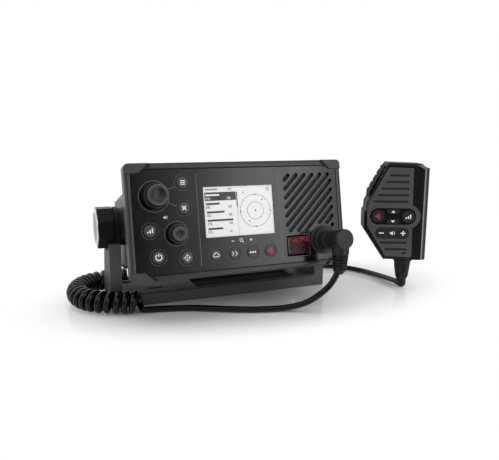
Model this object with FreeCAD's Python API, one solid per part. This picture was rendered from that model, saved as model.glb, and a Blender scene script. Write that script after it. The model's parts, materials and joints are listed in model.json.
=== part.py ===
"""Marine VHF radio on a gimbal bracket, with a fist microphone on a curly cord.

Frame: origin at the centre of the bracket's screw slots, on the table. +X is to the right of a person
who faces the radio, +Y runs away from that person, +Z is up. Millimetres.

Three places are used. "Row" places are the frame above. "Radio" places have their origin on the pivot
axis and lie square to the case; tilt() turns them back by TILT and lifts them to the pivot. "Hand"
places stand under the fist microphone, with X across its front and Y away from it; hand() moves them.
"""
import FreeCAD, Part
import math
import os

V = FreeCAD.Vector
X_AXIS, Y_AXIS, Z_AXIS = V(1, 0, 0), V(0, 1, 0), V(0, 0, 1)
OUT = "parts"

# ---- Driving dimensions ---------------------------------------------------------------------------
FACE_W, FACE_H = 207.0, 101.0      # front frame, outside
FACE_Y = -71.1                     # front of the frame, ahead of the pivot axis
PIVOT_Z = 74.9                     # pivot axis above the table
TILT = 10.57                       # the case leans back by this many degrees at rest
BEZEL_DEPTH = 13.0
CORNER_R = 4.0
SIDE_RAIL = 5.0                    # width of the frame's two sides
TOP_RAIL = 5.3                     # height of its top and bottom
CAP_W, CAP_H = 21.4, 9.0           # corner caps, along and down the frame
CAP_PROUD = 0.8
PANEL_SET = 0.8                    # the panel lies this far behind the frame's front
PANEL_T = 3.0
RAIL_DEPTH = 9.0                   # side rails and corner caps, from the front to their seat

CASE_HALF_W = 96.9
CASE_HALF_H = 42.0
CASE_REAR = 46.0                   # behind the pivot axis
CASE_WALL = 2.6
CASE_TOP_CHAMFER = 16.0
CASE_LOW_CHAMFER = 4.0
FIN_DEPTH, FIN_GAP, FIN_PITCH = 12.0, 3.2, 7.4
BACK_WALL = 4.0                    # solid metal in front of the fins
GASKET_T = 1.0
INSERT_R, INSERT_DEPTH = 6.0, 14.0
PIVOT_PAD = 2.4                    # round pad on each side of the case, about the pivot
ANTENNA_AT, POWER_AT, DATA_AT = (58.0, 12.0), (-58.0, -8.0), (0.0, -8.0)
REAR_PORTS = {ANTENNA_AT: 14.0, POWER_AT: 11.0, DATA_AT: 9.0}     # half width of each port's flat
POWER_BORE_R, DATA_BORE_R = 3.5, 5.0
ANTENNA_FLANGE = (12.7, 2.4)       # half width, thickness
ANTENNA_R, ANTENNA_BORE_R, ANTENNA_PIN_R, ANTENNA_LEN = 7.9, 5.6, 2.9, 16.0
POWER_GLAND = (9.0, 5.0, 7.5, 5.5, 14.0)    # nut radius and height, cone's radii, whole length
DATA_SOCKET = (7.0, 11.0)          # radius, length
RF_MODULE = (-62.0, 34.0, 30.0, 14.0)       # left, right, half height, depth
CASE_SCREWS = [(-80.0, 35.0), (80.0, 35.0), (-89.0, -35.0), (89.0, -35.0)]
SCREW_R, SCREW_HEAD_R, SCREW_HEAD_H, SCREW_SINK = 1.75, 3.2, 2.6, 6.0
BOSS_WALL, POST_R = 3.75, 5.5      # round each screw, in the front frame and in the case
OPENING_INSET = 3.0                # the front frame's rear opening lies this far inside the case's outline
BOSS_JOIN = 1.5                    # a screw boss reaches this far into the frame above or below it

ARM_IN, ARM_OUT = 102.0, 113.0     # bracket arms, inner and outer face
BASE_FRONT, BASE_REAR = -19.1, 33.0
BASE_T = 6.0
LIP_H, LIP_T = 12.3, 4.0
PAD_TOP = 10.8
PAD_ENDS = {-1: -26.5, 1: 85.0}    # where the left and the right screw pad end, from the centre
PAD_FILLET = 3.0
ARM_R = 19.1                       # half width of an arm at its round top
ARM_SHOULDER = 22.0                # the arm starts to widen this far below the pivot
SLOT_X, SLOT_LEN, SLOT_W = 67.7, 16.0, 5.0

STUD_R, STUD_GAP = 4.0, 0.05
WASHER_GAP = 0.1                   # between a friction washer and its arm
ARM_HOLE_R = 4.4
KNOB_R, KNOB_SIDES = 20.2, 8       # gimbal knob, across its corners
KNOB_FIRST = 22.0                  # angle of its first corner, degrees
KNOB_IN, KNOB_OUT, KNOB_GAP = 106.4, 121.4, 0.3    # its ends, and the room between it and the arm
KNOB_CROWN, KNOB_CROWN_R = 1.2, 130.0              # its end swells by this much, as part of a sphere
BOSS_R = 18.0

# Places on the front panel: right of its centre, and up from it.
LCD = (-35.8, 30.6, -16.2, 28.5)
CHANNEL_AT, CHANNEL_RING_R, CHANNEL_H = (-79.4, 22.0), 13.6, 19.5
VOLUME_AT, VOLUME_RING_R, VOLUME_H = (-62.0, -10.7), 10.9, 12.2
SIDE_KEYS = {"key_menu": (-53.9, 33.1), "key_clear": (-54.0, 11.1), "key_power_level": (-84.7, -6.9),
             "key_power": (-78.8, -29.6), "key_waypoint": (-54.1, -31.9)}
SIDE_KEY_R, SIDE_SEAT_R = 5.2, 7.2
ROW_KEYS = ("key_weather", "key_scan", "key_triple_watch", "key_calling")
ROW_KEY_X, ROW_KEY_PITCH, ROW_KEY_V = -27.9, 17.4, -32.0
ROW_KEY_R, ROW_SEAT_R = 5.0, 6.7
KEY_GAP, KEY_PROUD, SEAT_DEPTH = 0.25, 0.6, 0.5
GRILLE = (43.3, 91.8, -15.2, 36.6)
GRILLE_STEP, GRILLE_W, GRILLE_FIRST = 8.45, 3.5, -10.8
SPEAKER_AT, SPEAKER_R = (67.5, 10.7), 21.5
WINDOW_FRONT, WINDOW_BACK = 0.1, 1.1    # the display's pane, behind the panel's face
LCD_TRAY = (3.0, 2.0, 2.5, 3.0, 5.0)   # module beyond the window: left, right, down, up, and deep
DISTRESS = (41.9, 65.0, -39.0, -19.8)
MIC_AT = (80.4, -25.8)
MIC_CLEAR_R = 16.6                 # grille slots stay this far from the microphone socket
FLANGE_R, SOCKET_R, SOCKET_BORE_R = 13.8, 8.6, 6.7
RING_R, RING_GAP = 11.9, 0.06      # lock ring
PLUG_LEN, PLUG_R, PLUG_CAP_R = 39.3, 8.3, 9.1
LEG_OUT, LEG_R = 31.0, 7.8         # the plug's leg turns down this far from the panel's frame
BOOT_TOP, BOOT_BEND = 55.0, 42.5   # heights of the plug's strain relief, above the table
BOOT_R, BOOT_TAPER = 7.5, 0.25     # its outside at the top, and what each row of it loses
BOOT_ROWS, BOOT_PITCH, BOOT_NOTCH, BOOT_CORE_R, BOOT_END_R = 5, 2.8, 1.2, 5.0, 4.2
RING_LOW, RING_HIGH = 2.2, 7.0     # heights above the panel
RING_GROOVES, RING_GROOVE_R = 18, 0.7
BARREL_STEP, RIBS_LOW, RIB_PITCH, CAP_LOW_H = 15.0, 24.6, 2.2, 31.4

SHAFT_R, SHAFT_GAP = 3.0, 0.05     # shafts of the channel and volume controls
SHAFT_SHARE = 0.62                 # a shaft reaches up this share of its knob's height
ENCODER_HALF = 6.0
ENCODER_BACK = 9.0                 # encoder body ends this far behind the panel
CHANNEL_RADII = (10.3, 9.0, 8.3, 5.5)                  # knob's skirt, body, end and dish
VOLUME_RADII = (8.2, 6.7, 5.9, 3.1)

PIN_R, PIN_GAP, PIN_REACH = 0.8, 0.05, 0.8
COVER_T, COVER_PROUD = 1.6, 1.2
COVER_SIDE_GAP = 0.6
KNUCKLE_R = 1.7

HAND_AT = (185.6, -58.5)           # under the fist microphone
HAND_YAW = 27.0                    # it is turned to the left by this many degrees
HAND_FRONT, HAND_SPLIT, HAND_REAR = -16.0, 0.0, 17.0

HAND_LOW = 33.2                    # its lower end
COLUMN_X0, COLUMN_X1, COLUMN_TOP = 5.0, 22.0, 127.3    # round-sided column on its right
COLUMN_FLAT, COLUMN_CREST, COLUMN_SIDE_Y = 14.5, (19.7, -12.9), -8.2   # flat strip's end, round, side
HAND_PLATE_T = 0.8                 # raised plate on its front
HAND_WALL = 8.5                    # solid behind the front face, where the keys are guided
BEVEL_DEPTH, REAR_BEVEL = 3.0, 2.4
HAND_SLOT_W, HAND_SLOT_DEPTH = 2.2, 1.6
TALK_Y0, TALK_Y1 = -11.8, 12.2     # push-to-talk bar, across the microphone's thickness
TALK_T, TALK_GAP, TALK_TRAVEL = 3.0, 0.4, 2.6
TALK_RIBS, TALK_RIB_R = (11.5, 19.0, 26.5, 34.0), 0.9  # grip grooves, along the bar

HANG_AT, HANG_NECK, HANG_HEAD = (-8.0, 92.0), (4.0, 3.0), (7.5, 2.5)   # stud: radius and length
HAND_SPEAKER = ((-13.0, 104.0), 13.0, 4.4)     # centre, radius, thickness
RELIEF_AT = (0.8, 0.5)             # its strain relief, in hand places
RELIEF_PROFILE = [(8.7, 29.6), (7.6, 19.5), (6.4, 12.0), (4.8, 9.0)]    # radius, height
ELBOW_Z, ELBOW_R = 4.7, 4.9        # ball that stands on the table
CORD_EXIT = (-2.9, 7.3, 4.0)       # the cord leaves it here, in hand places

# Outlines as (x, z), in hand places, clockwise from the upper left corner.
HAND_OUTLINE = [(-21.8, 131.3), (-19.9, 133.4), (13.6, 132.2), (16.3, 129.6), (21.7, 127.4),
                (21.9, HAND_LOW), (-21.6, HAND_LOW), (-42.7, 65.2), (-42.8, 83.0), (-40.9, 85.6),
                (-40.7, 92.8), (-39.0, 95.6)]
BEVEL_OUTLINE = [(-21.2, 130.7), (-19.6, 131.6), (8.0, 130.3), (12.0, 129.2), (15.0, 126.6),
                 (15.0, 34.8), (-20.6, 35.0), (-41.0, 66.2), (-41.2, 83.2), (-40.2, 86.0),
                 (-39.9, 92.4), (-38.4, 95.2)]
PLATE_OUTLINE = [(-20.3, 128.0), (-19.4, 128.8), (4.6, 128.0), (6.6, 36.3), (-20.0, 36.6),
                 (-39.8, 68.6), (-40.4, 83.4), (-39.2, 92.4), (-38.3, 94.2)]
FRONT_CAVITY = [(-14, 122), (2, 121), (5, 118), (5, 40), (-14, 40), (-33, 72), (-33, 88)]
REAR_CAVITY = [(-14, 122), (2, 121), (5, 118), (18, 112), (18, 40), (-14, 40), (-33, 72), (-33, 88)]
FLANK_LOW, FLANK_TOP = (-39.0, 95.6), (-21.8, 131.3)
# The push-to-talk bar's section: along the flank, and out of it.
TALK_BAR = [(2.0, -TALK_T), (2.0, 0.2), (8.0, 2.8), (37.8, 1.2), (37.8, -TALK_T)]
# Slots in its front: left end, right end, height.
HAND_SLOTS = [(-18.7 - 3.9 * index, 0.8, 120.6 - 6.7 * index) for index in range(5)]
HAND_SLOTS += [(-26.0, 0.9, 51.3), (-20.9, 0.9, 44.4), (-3.7, 0.6, 40.4)]
HAND_KEYS = {"handset_key_calling": (-29.0, 78.6), "handset_key_power_level": (1.5, 78.4)}
HAND_KEY_R, BULGE_R = 6.5, 12.2
ARROW_KEYS = {"handset_key_up": (-13.8, 83.5), "handset_key_down": (-13.8, 73.4)}
ARROW_LEN, ARROW_W = 12.6, 4.6
KEY_WELL = (-14.0, 78.6, 46.2, 17.0)   # centre, length, width
ROCKER = (-14.1, 61.3, 33.4, 11.0)
WELL_DEPTH, HAND_KEY_PROUD = 1.5, 0.5
KEY_HOLE_DEPTH = 7.0                   # keys and rocker reach this far behind the front

CORD_D = 5.7
CORD_GAP = 0.9                     # between the cord's ends and the strain reliefs, which move
CURL_R = 10.4                      # outside of the curly section

# Routes are chosen by hand: the free cord lies on the table round the bracket's left side.
LEAD_ROUTE = [(77.6, -105.3, 37.1), (72.7, -106.0, 28.8), (64.1, -103.0, 19.4), (52.4, -94.5, 8.2),
              (37.0, -85.6, 3.2), (19.0, -81.5, 2.9), (0.0, -75.0, 2.9), (-21.0, -64.2, 2.9),
              (-42.5, -52.2, 2.9), (-62.0, -46.0, 2.9), (-85.3, -40.9, 2.9)]
CURL_ROUTE = [(-85.6, -40.8, 10.5), (-102.0, -36.0, 10.5), (-118.0, -30.0, 10.5), (-131.5, -19.5, 10.5),
              (-139.8, -4.0, 10.5), (-141.4, 14.0, 10.5), (-136.6, 31.5, 10.5), (-125.0, 44.5, 10.5),
              (-108.5, 51.0, 10.5), (-91.0, 53.2, 10.5), (-74.0, 53.0, 10.5)]
TAIL_ROUTE = [(-73.3, 53.0, 2.9), (-48.0, 56.5, 2.9), (-16.0, 61.0, 2.9), (18.0, 63.0, 2.9),
              (52.0, 63.5, 2.9), (86.0, 61.5, 2.9), (118.0, 56.0, 2.9), (146.0, 47.0, 2.9),
              (167.0, 31.0, 2.9), (179.0, 10.5, 2.9), (184.5, -12.0, 2.9), (186.6, -34.0, 3.4)]

# ---- Dimensions that follow from those above --------------------------------------------------------
PANEL_Y = FACE_Y + PANEL_SET
PANEL_BACK = PANEL_Y + PANEL_T
HALF_W, HALF_H = FACE_W / 2, FACE_H / 2
PANEL_HALF_W, PANEL_HALF_H = HALF_W - SIDE_RAIL, HALF_H - TOP_RAIL
CAP_LOW = HALF_H - CAP_H           # lower edge of a top cap, from the panel's centre
BEZEL_BACK = FACE_Y + BEZEL_DEPTH
CASE_FRONT = BEZEL_BACK + GASKET_T
HOLLOW_END = CASE_REAR - FIN_DEPTH - BACK_WALL
SCREW_TIP = PANEL_BACK + 2.0
STUD_TIP = KNOB_OUT - 3.0
HINGE_V = DISTRESS[3] - 2.6
HINGE_Y = PANEL_Y + 1.0
CAP_OUTLINE = [(HALF_W, HALF_H), (HALF_W - CAP_W, HALF_H), (HALF_W - CAP_W + CAP_H, CAP_LOW),
               (HALF_W, CAP_LOW)]
GROOVE_OUTLINE = [(HALF_W - CAP_W, HALF_H), (HALF_W - CAP_W - 3.0, HALF_H),
                  (HALF_W - CAP_W + TOP_RAIL - 3.0, PANEL_HALF_H), (HALF_W - CAP_W + TOP_RAIL, PANEL_HALF_H)]


# ---- Building blocks ------------------------------------------------------------------------------
def box(x0, x1, y0, y1, z0, z1):
    return Part.makeBox(x1 - x0, y1 - y0, z1 - z0, V(x0, y0, z0))


def rod(start, end, radius):
    run = end - start
    return Part.makeCylinder(radius, run.Length, start, run)


def cone(start, end, r0, r1):
    run = end - start
    return Part.makeCone(r0, r1, run.Length, start, run)


def prism(points, run):
    """A closed outline of points, pushed along run."""
    wire = Part.makePolygon(list(points) + [points[0]])
    return Part.Face(wire).extrude(run)


def plate(outline, y0, y1):
    """An outline given as (x, z), between two depths y0 and y1."""
    return prism([V(x, y0, z) for x, z in outline], V(0, y1 - y0, 0))


def rounded_plate(x0, x1, z0, z1, radius, y0, y1):
    body = box(x0, x1, y0, y1, z0, z1)
    corners = [e for e in body.Edges if abs(abs(e.tangentAt(e.FirstParameter).y) - 1) < 1e-6]
    return body.makeFillet(radius, corners)


def stadium(cx, cz, length, width, y0, y1, angle=0.0):
    """A slot with round ends, centred on (cx, cz) and turned by angle degrees."""
    half = (length - width) / 2
    body = box(-half, half, y0, y1, -width / 2, width / 2) if half > 0.01 else None
    for side in (-1, 1):
        end = rod(V(side * half, y0, 0), V(side * half, y1, 0), width / 2)
        body = end if body is None else body.fuse(end)
    body = body.removeSplitter()
    body.rotate(V(0, 0, 0), Y_AXIS, -angle)
    body.translate(V(cx, 0, cz))
    return body


def spun(profile, at, face_y):
    """A turned part on the panel: profile is (radius, height above the panel), centred at (u, v)."""
    points = [V(r, face_y - h, 0) for r, h in profile]
    wire = Part.makePolygon(points + [points[0]])
    body = Part.Face(wire).revolve(V(0, 0, 0), Y_AXIS, 360)
    body = Part.Solid(body) if body.ShapeType != "Solid" else body
    body.translate(V(at[0], 0, at[1]))
    return body


def tilt(shape):
    moved = shape.copy()
    moved.rotate(V(0, 0, 0), X_AXIS, -TILT)
    moved.translate(V(0, 0, PIVOT_Z))
    return moved


def hand(shape):
    moved = shape.copy()
    moved.rotate(V(0, 0, 0), Z_AXIS, -HAND_YAW)
    moved.translate(V(HAND_AT[0], HAND_AT[1], 0))
    return moved


def mirrored(shape):
    return shape.mirror(V(0, 0, 0), X_AXIS)


def save(node, *shapes):
    """Write one node. Several shapes stay separate solids in one file."""
    solids = [solid for shape in shapes for solid in shape.Solids]
    for solid in solids:
        if not solid.isValid() or solid.Volume <= 0:
            print("BAD SOLID", node, solid.Volume)
    whole = solids[0] if len(solids) == 1 else Part.makeCompound(solids)
    whole.exportStep(os.path.join(OUT, node + ".step"))
    print("%-22s %2d solid(s) %9.1f mm3" % (node, len(solids), sum(s.Volume for s in solids)))


# ---- Bracket --------------------------------------------------------------------------------------
def bracket_arm():
    """The right arm: a wide foot that narrows to a round top about the pivot axis."""
    blend_z = PIVOT_Z - ARM_SHOULDER
    outline = [V(ARM_IN, BASE_FRONT, 0), V(ARM_IN, BASE_REAR, 0), V(ARM_IN, BASE_REAR, LIP_H),
               V(ARM_IN, ARM_R, blend_z), V(ARM_IN, ARM_R, PIVOT_Z), V(ARM_IN, BASE_FRONT, PIVOT_Z)]
    arm = prism(outline, V(ARM_OUT - ARM_IN, 0, 0))
    arm = arm.fuse(rod(V(ARM_IN, 0, PIVOT_Z), V(ARM_OUT, 0, PIVOT_Z), ARM_R))
    arm = arm.cut(rod(V(ARM_IN - 1, 0, PIVOT_Z), V(ARM_OUT + 1, 0, PIVOT_Z), ARM_HOLE_R))
    collar_seat = rod(V(KNOB_IN - KNOB_GAP, 0, PIVOT_Z), V(ARM_OUT + 1, 0, PIVOT_Z), ARM_R + 3.0)
    return arm.cut(collar_seat)


def screw_slot(side):
    cut = stadium(side * SLOT_X, 0, SLOT_LEN, SLOT_W, -PAD_TOP - 1, 1)
    cut.rotate(V(0, 0, 0), X_AXIS, -90)
    return cut


def screw_pad(side):
    end = PAD_ENDS[side]
    x0, x1 = sorted((end, side * (ARM_IN + 1)))
    pad = box(x0, x1, BASE_FRONT + LIP_T + 1.5, BASE_REAR - 6, 0, PAD_TOP)
    top_edges = [e for e in pad.Edges if e.BoundBox.ZMin > PAD_TOP - 0.01]
    return pad.makeFillet(PAD_FILLET, [e for e in top_edges if abs(e.CenterOfMass.x - end) < 0.01])


def bracket():
    body = box(-ARM_OUT, ARM_OUT, BASE_FRONT, BASE_REAR, 0, BASE_T)
    lip = prism([V(-ARM_OUT, BASE_FRONT, 0), V(-ARM_OUT, BASE_FRONT, LIP_H),
                 V(-ARM_OUT, BASE_FRONT + LIP_T - 1.5, LIP_H), V(-ARM_OUT, BASE_FRONT + LIP_T, LIP_H - 1.5),
                 V(-ARM_OUT, BASE_FRONT + LIP_T, 0)], V(2 * ARM_OUT, 0, 0))
    body = body.fuse(lip).fuse(box(-ARM_OUT, ARM_OUT, BASE_REAR - LIP_T, BASE_REAR, 0, LIP_H))
    for side in (-1, 1):
        body = body.fuse(screw_pad(side))
        arm = bracket_arm()
        body = body.fuse(arm if side > 0 else mirrored(arm))
    body = body.removeSplitter()
    for side in (-1, 1):
        body = body.cut(screw_slot(side))
    return body.removeSplitter()


# ---- Front of the radio ---------------------------------------------------------------------------
def four_ways(outline):
    """The outline in each quarter of the front, its points kept in one turning direction."""
    for sx in (-1, 1):
        for sz in (-1, 1):
            points = [(sx * x, sz * z) for x, z in outline]
            yield points if sx * sz > 0 else points[::-1]


def panel_outline():
    quarter = [(PANEL_HALF_W, CAP_LOW), (HALF_W - CAP_W + CAP_H, CAP_LOW),
               (HALF_W - CAP_W + TOP_RAIL, PANEL_HALF_H)]
    top_left = [(-x, z) for x, z in quarter[::-1]]
    upper = quarter + top_left
    return upper + [(-x, -z) for x, z in upper]


def corner_cap(outline):
    cap = plate(outline, FACE_Y - CAP_PROUD, FACE_Y + RAIL_DEPTH)
    shell = rounded_plate(-HALF_W, HALF_W, -HALF_H, HALF_H, CORNER_R, FACE_Y - 2, FACE_Y + 12)
    cap = cap.common(shell)
    front = [e for e in cap.Edges if e.BoundBox.YMax < FACE_Y - CAP_PROUD + 0.01]
    return cap.makeChamfer(0.7, front)


def corner_caps():
    return [corner_cap(outline) for outline in four_ways(CAP_OUTLINE)]


def side_rail(side):
    inner, outer = PANEL_HALF_W, HALF_W
    section = [(outer, RAIL_DEPTH), (outer, 1.6), (outer - 1.3, 0.2), (outer - 1.9, 0.2),
               (outer - 1.9, 1.1), (outer - 2.5, 1.1), (outer - 2.5, 0.0), (inner, 0.0), (inner, RAIL_DEPTH)]
    rail = prism([V(side * x, FACE_Y + y, -CAP_LOW) for x, y in section], V(0, 0, 2 * CAP_LOW))
    return rail


def screw_boss(x, z, y0, y1, slack):
    """The boss that takes a case screw, joined to the frame above or below it."""
    radius = SCREW_R + BOSS_WALL + slack
    z0, z1 = sorted((z, math.copysign(CASE_HALF_H - OPENING_INSET + BOSS_JOIN, z)))
    web = 0.8 * radius
    return rod(V(x, y0, z), V(x, y1, z), radius).fuse(box(x - web, x + web, y0, y1, z0, z1))


def front_bezel():
    body = rounded_plate(-HALF_W, HALF_W, -HALF_H, HALF_H, CORNER_R, FACE_Y, FACE_Y + BEZEL_DEPTH)
    long_edges = [e for e in body.Edges if e.BoundBox.YMax < FACE_Y + 0.01 and e.BoundBox.XLength > 150]
    body = body.makeFillet(1.8, long_edges)
    body = body.cut(plate(panel_outline(), FACE_Y - 1, PANEL_BACK))
    body = body.cut(plate(case_outline(OPENING_INSET), PANEL_BACK - 0.1, BEZEL_BACK + 1))
    for x, z in CASE_SCREWS:
        body = body.fuse(screw_boss(x, z, PANEL_BACK, BEZEL_BACK, 0))
        body = body.cut(rod(V(x, SCREW_TIP, z), V(x, BEZEL_BACK + 1, z), SCREW_R))
    for outline in four_ways(CAP_OUTLINE):
        body = body.cut(plate(outline, FACE_Y - 1, FACE_Y + RAIL_DEPTH))
    for outline in four_ways(GROOVE_OUTLINE):
        body = body.cut(plate(outline, FACE_Y - 1, FACE_Y + 0.6))
    for side in (-1, 1):
        x0, x1 = sorted((side * PANEL_HALF_W, side * (HALF_W + 1)))
        body = body.cut(box(x0, x1, FACE_Y - 1, FACE_Y + RAIL_DEPTH, -CAP_LOW, CAP_LOW))
    return body


def key_places():
    places = {name: (at, SIDE_KEY_R, SIDE_SEAT_R) for name, at in SIDE_KEYS.items()}
    for index, name in enumerate(ROW_KEYS):
        at = (ROW_KEY_X + index * ROW_KEY_PITCH, ROW_KEY_V)
        places[name] = (at, ROW_KEY_R, ROW_SEAT_R)
    return places


def on_panel(at, h0, h1, radius):
    """A cylinder on the panel from height h0 to h1 above it."""
    return rod(V(at[0], PANEL_Y - h0, at[1]), V(at[0], PANEL_Y - h1, at[1]), radius)


def grille_slots():
    """Diagonal slots that fill the grille's rectangle and stop short of the microphone socket."""
    u0, u1, v0, v1 = GRILLE
    slots = []
    for index in range(12):
        drop = GRILLE_FIRST - index * GRILLE_STEP
        start, end = max(u0, v0 - drop), min(u1, v1 - drop)
        while start < end and math.hypot(start - MIC_AT[0], start + drop - MIC_AT[1]) < MIC_CLEAR_R:
            start += 0.5
        if end - start < 0.3:
            continue
        middle = (start + end) / 2
        length = (end - start) * math.sqrt(2) + GRILLE_W
        slots.append(stadium(middle, middle + drop, length, GRILLE_W, PANEL_Y - 1, PANEL_BACK + 1, 45.0))
    return slots


def front_panel():
    body = plate(panel_outline(), PANEL_Y, PANEL_BACK)
    u0, u1, v0, v1 = LCD
    cuts = [box(u0, u1, PANEL_Y - 1, PANEL_BACK + 1, v0, v1)]
    u0, u1, v0, v1 = DISTRESS
    cuts.append(rounded_plate(u0, u1, v0, v1, 1.0, PANEL_Y - 1, PANEL_BACK + 1))
    cuts.append(distress_pin())
    for at, key_r, seat_r in key_places().values():
        cuts.append(on_panel(at, -PANEL_T - 1, 1, key_r + KEY_GAP))
        cuts.append(on_panel(at, -SEAT_DEPTH, 1, seat_r))
    for at, ring_r in ((CHANNEL_AT, CHANNEL_RING_R), (VOLUME_AT, VOLUME_RING_R)):
        cuts.append(on_panel(at, -PANEL_T - 1, 1, 4.0))
        cuts.append(on_panel(at, -1.2, 1, ring_r))
    cuts.append(on_panel(MIC_AT, -PANEL_T - 1, 1, 9.0))
    cuts += grille_slots()
    return body.cut(Part.makeCompound(cuts))


def knob_ring(at, radius):
    profile = [(radius, -1.2), (radius, 0.3), (radius - 0.35, 0.65), (radius - 0.75, 0.65),
               (radius - 1.1, 0.3), (radius - 1.5, -0.9), (radius - 1.5, -1.2)]
    return spun(profile, at, PANEL_Y)


def key(at, radius):
    """A round key: a crowned disc on a plain plunger."""
    back = -PANEL_T - 0.2
    profile = [(0, back), (radius, back), (radius, KEY_PROUD - 0.5), (radius - 0.5, KEY_PROUD - 0.05),
               (radius * 0.5, KEY_PROUD + 0.12), (0, KEY_PROUD + 0.15)]
    return spun(profile, at, PANEL_Y)


# ---- Channel and volume controls ------------------------------------------------------------------
def control_knob(at, radii, height):
    """A knob with a skirt, a waist, a slim body and a dished end; its blind bore takes the shaft."""
    skirt_r, body_r, face_r, dish_r = radii
    bore = SHAFT_R + SHAFT_GAP
    profile = [(bore, 0.4), (skirt_r, 0.4), (skirt_r, 1.4), (skirt_r - 0.7, height * 0.24),
               (body_r + 0.5, height * 0.30), (body_r, height * 0.36), (face_r + 0.35, height - 1.0),
               (face_r - 0.2, height - 0.25), (face_r - 0.9, height), (dish_r + 0.3, height),
               (dish_r, height - 0.3), (dish_r * 0.6, height - 0.8), (0, height - 1.0),
               (0, height * SHAFT_SHARE), (bore, height * SHAFT_SHARE)]
    return spun(profile, at, PANEL_Y)


def control_shaft(at, height):
    return on_panel(at, -PANEL_T - 4.0, height * SHAFT_SHARE - 0.1, SHAFT_R)


def encoder_body(at):
    y0, y1 = PANEL_BACK, PANEL_Y + ENCODER_BACK
    half = ENCODER_HALF
    body = box(at[0] - half, at[0] + half, y0, y1, at[1] - half, at[1] + half)
    return body.cut(rod(V(at[0], y0 - 1, at[1]), V(at[0], y1 - 0.8, at[1]), SHAFT_R + SHAFT_GAP))


# ---- Distress key ---------------------------------------------------------------------------------
def distress_key():
    u0, u1, v0, v1 = DISTRESS
    body = rounded_plate(u0 + 2.0, u1 - 2.0, v0 + 3.6, v1 - 5.0, 1.0, PANEL_Y + 0.6, PANEL_BACK)
    return body


def distress_cover():
    """The flip cover, hung from the pin along its top edge."""
    u0, u1 = DISTRESS[0] + COVER_SIDE_GAP, DISTRESS[1] - COVER_SIDE_GAP
    low = DISTRESS[2] + 2.6
    front = PANEL_Y - COVER_PROUD
    lid = rounded_plate(u0, u1, low, HINGE_V, 0.8, front, front + COVER_T)
    knuckle = rod(V(u0, HINGE_Y, HINGE_V), V(u1, HINGE_Y, HINGE_V), KNUCKLE_R)
    web = box(u0, u1, front + 0.1, HINGE_Y, HINGE_V - 1.4, HINGE_V)
    body = lid.fuse(knuckle).fuse(web)
    middle = (u0 + u1) / 2
    body = body.cut(rod(V(u0 - 1, HINGE_Y, HINGE_V), V(u1 + 1, HINGE_Y, HINGE_V), PIN_R + PIN_GAP))
    grip = box(middle - 4.5, middle + 4.5, front - 1, front + 0.7, low - 1, low + 0.9)
    return body.cut(grip).removeSplitter()


def distress_pin():
    u0, u1 = DISTRESS[0] - PIN_REACH, DISTRESS[1] + PIN_REACH
    return rod(V(u0, HINGE_Y, HINGE_V), V(u1, HINGE_Y, HINGE_V), PIN_R)


# ---- Inside the front -----------------------------------------------------------------------------
def lcd_window():
    u0, u1, v0, v1 = LCD
    return box(u0, u1, PANEL_Y + WINDOW_FRONT, PANEL_Y + WINDOW_BACK, v0, v1)


def lcd_module():
    u0, u1, v0, v1 = LCD
    left, right, down, up, deep = LCD_TRAY
    glass = box(u0, u1, PANEL_Y + WINDOW_BACK, PANEL_BACK, v0, v1)
    tray = box(u0 - left, u1 + right, PANEL_BACK, PANEL_BACK + deep, v0 - down, v1 + up)
    return glass.fuse(tray).removeSplitter()


def speaker_parts():
    u, v = SPEAKER_AT
    front = PANEL_BACK + 0.8
    frame = [(SPEAKER_R, 0), (SPEAKER_R, -2.0), (17.0, -12.0), (9.0, -12.0), (9.0, -10.5), (15.8, -10.5),
             (SPEAKER_R - 2.6, -1.2), (SPEAKER_R - 2.6, 0)]
    cone_skin = [(SPEAKER_R - 2.8, -0.4), (SPEAKER_R - 3.8, -1.6), (8.0, -9.6), (0, -6.4), (0, -5.6),
                 (8.2, -8.6), (SPEAKER_R - 4.2, -0.4)]
    magnet = rod(V(u, front + 12.0, v), V(u, front + 22.0, v), 15.0)
    return spun(frame, (u, v), front), spun(cone_skin, (u, v), front), magnet


def clear_of_bosses(sheet, y0, y1):
    """The sheet, kept clear of the frame's opening and of the screw bosses in it."""
    sheet = sheet.common(plate(case_outline(OPENING_INSET + 0.7), y0 - 1, y1 + 1))
    for x, z in CASE_SCREWS:
        sheet = sheet.cut(screw_boss(x, z, y0 - 1, y1 + 1, 0.5))
    return sheet


def key_mat():
    """The silicone sheet under the keys, cut away round the display, speaker and encoders."""
    y0, y1 = PANEL_BACK + 1.0, PANEL_BACK + 2.2
    left = box(-92, -42, y0, y1, -39, 39)
    row = box(-42, 66, y0, y1, -39, -24)
    sheet = left.fuse(row).removeSplitter()
    for at in (CHANNEL_AT, VOLUME_AT):
        half = ENCODER_HALF + 0.4
        sheet = sheet.cut(box(at[0] - half, at[0] + half, y0 - 1, y1 + 1, at[1] - half, at[1] + half))
    return clear_of_bosses(sheet, y0, y1)


def main_board():
    y0, y1 = PANEL_BACK + 6.0, PANEL_BACK + 7.6
    return clear_of_bosses(box(-91, 36, y0, y1, -38.5, 38.5), y0, y1)


# ---- Rear case ------------------------------------------------------------------------------------
def case_outline(inset):
    w, h = CASE_HALF_W - inset, CASE_HALF_H - inset
    top, low = CASE_TOP_CHAMFER - inset * 0.6, CASE_LOW_CHAMFER - inset * 0.6
    return [(w, h - top), (w - top, h), (top - w, h), (-w, h - top), (-w, low - h), (low - w, -h),
            (w - low, -h), (w, low - h)]


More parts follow.
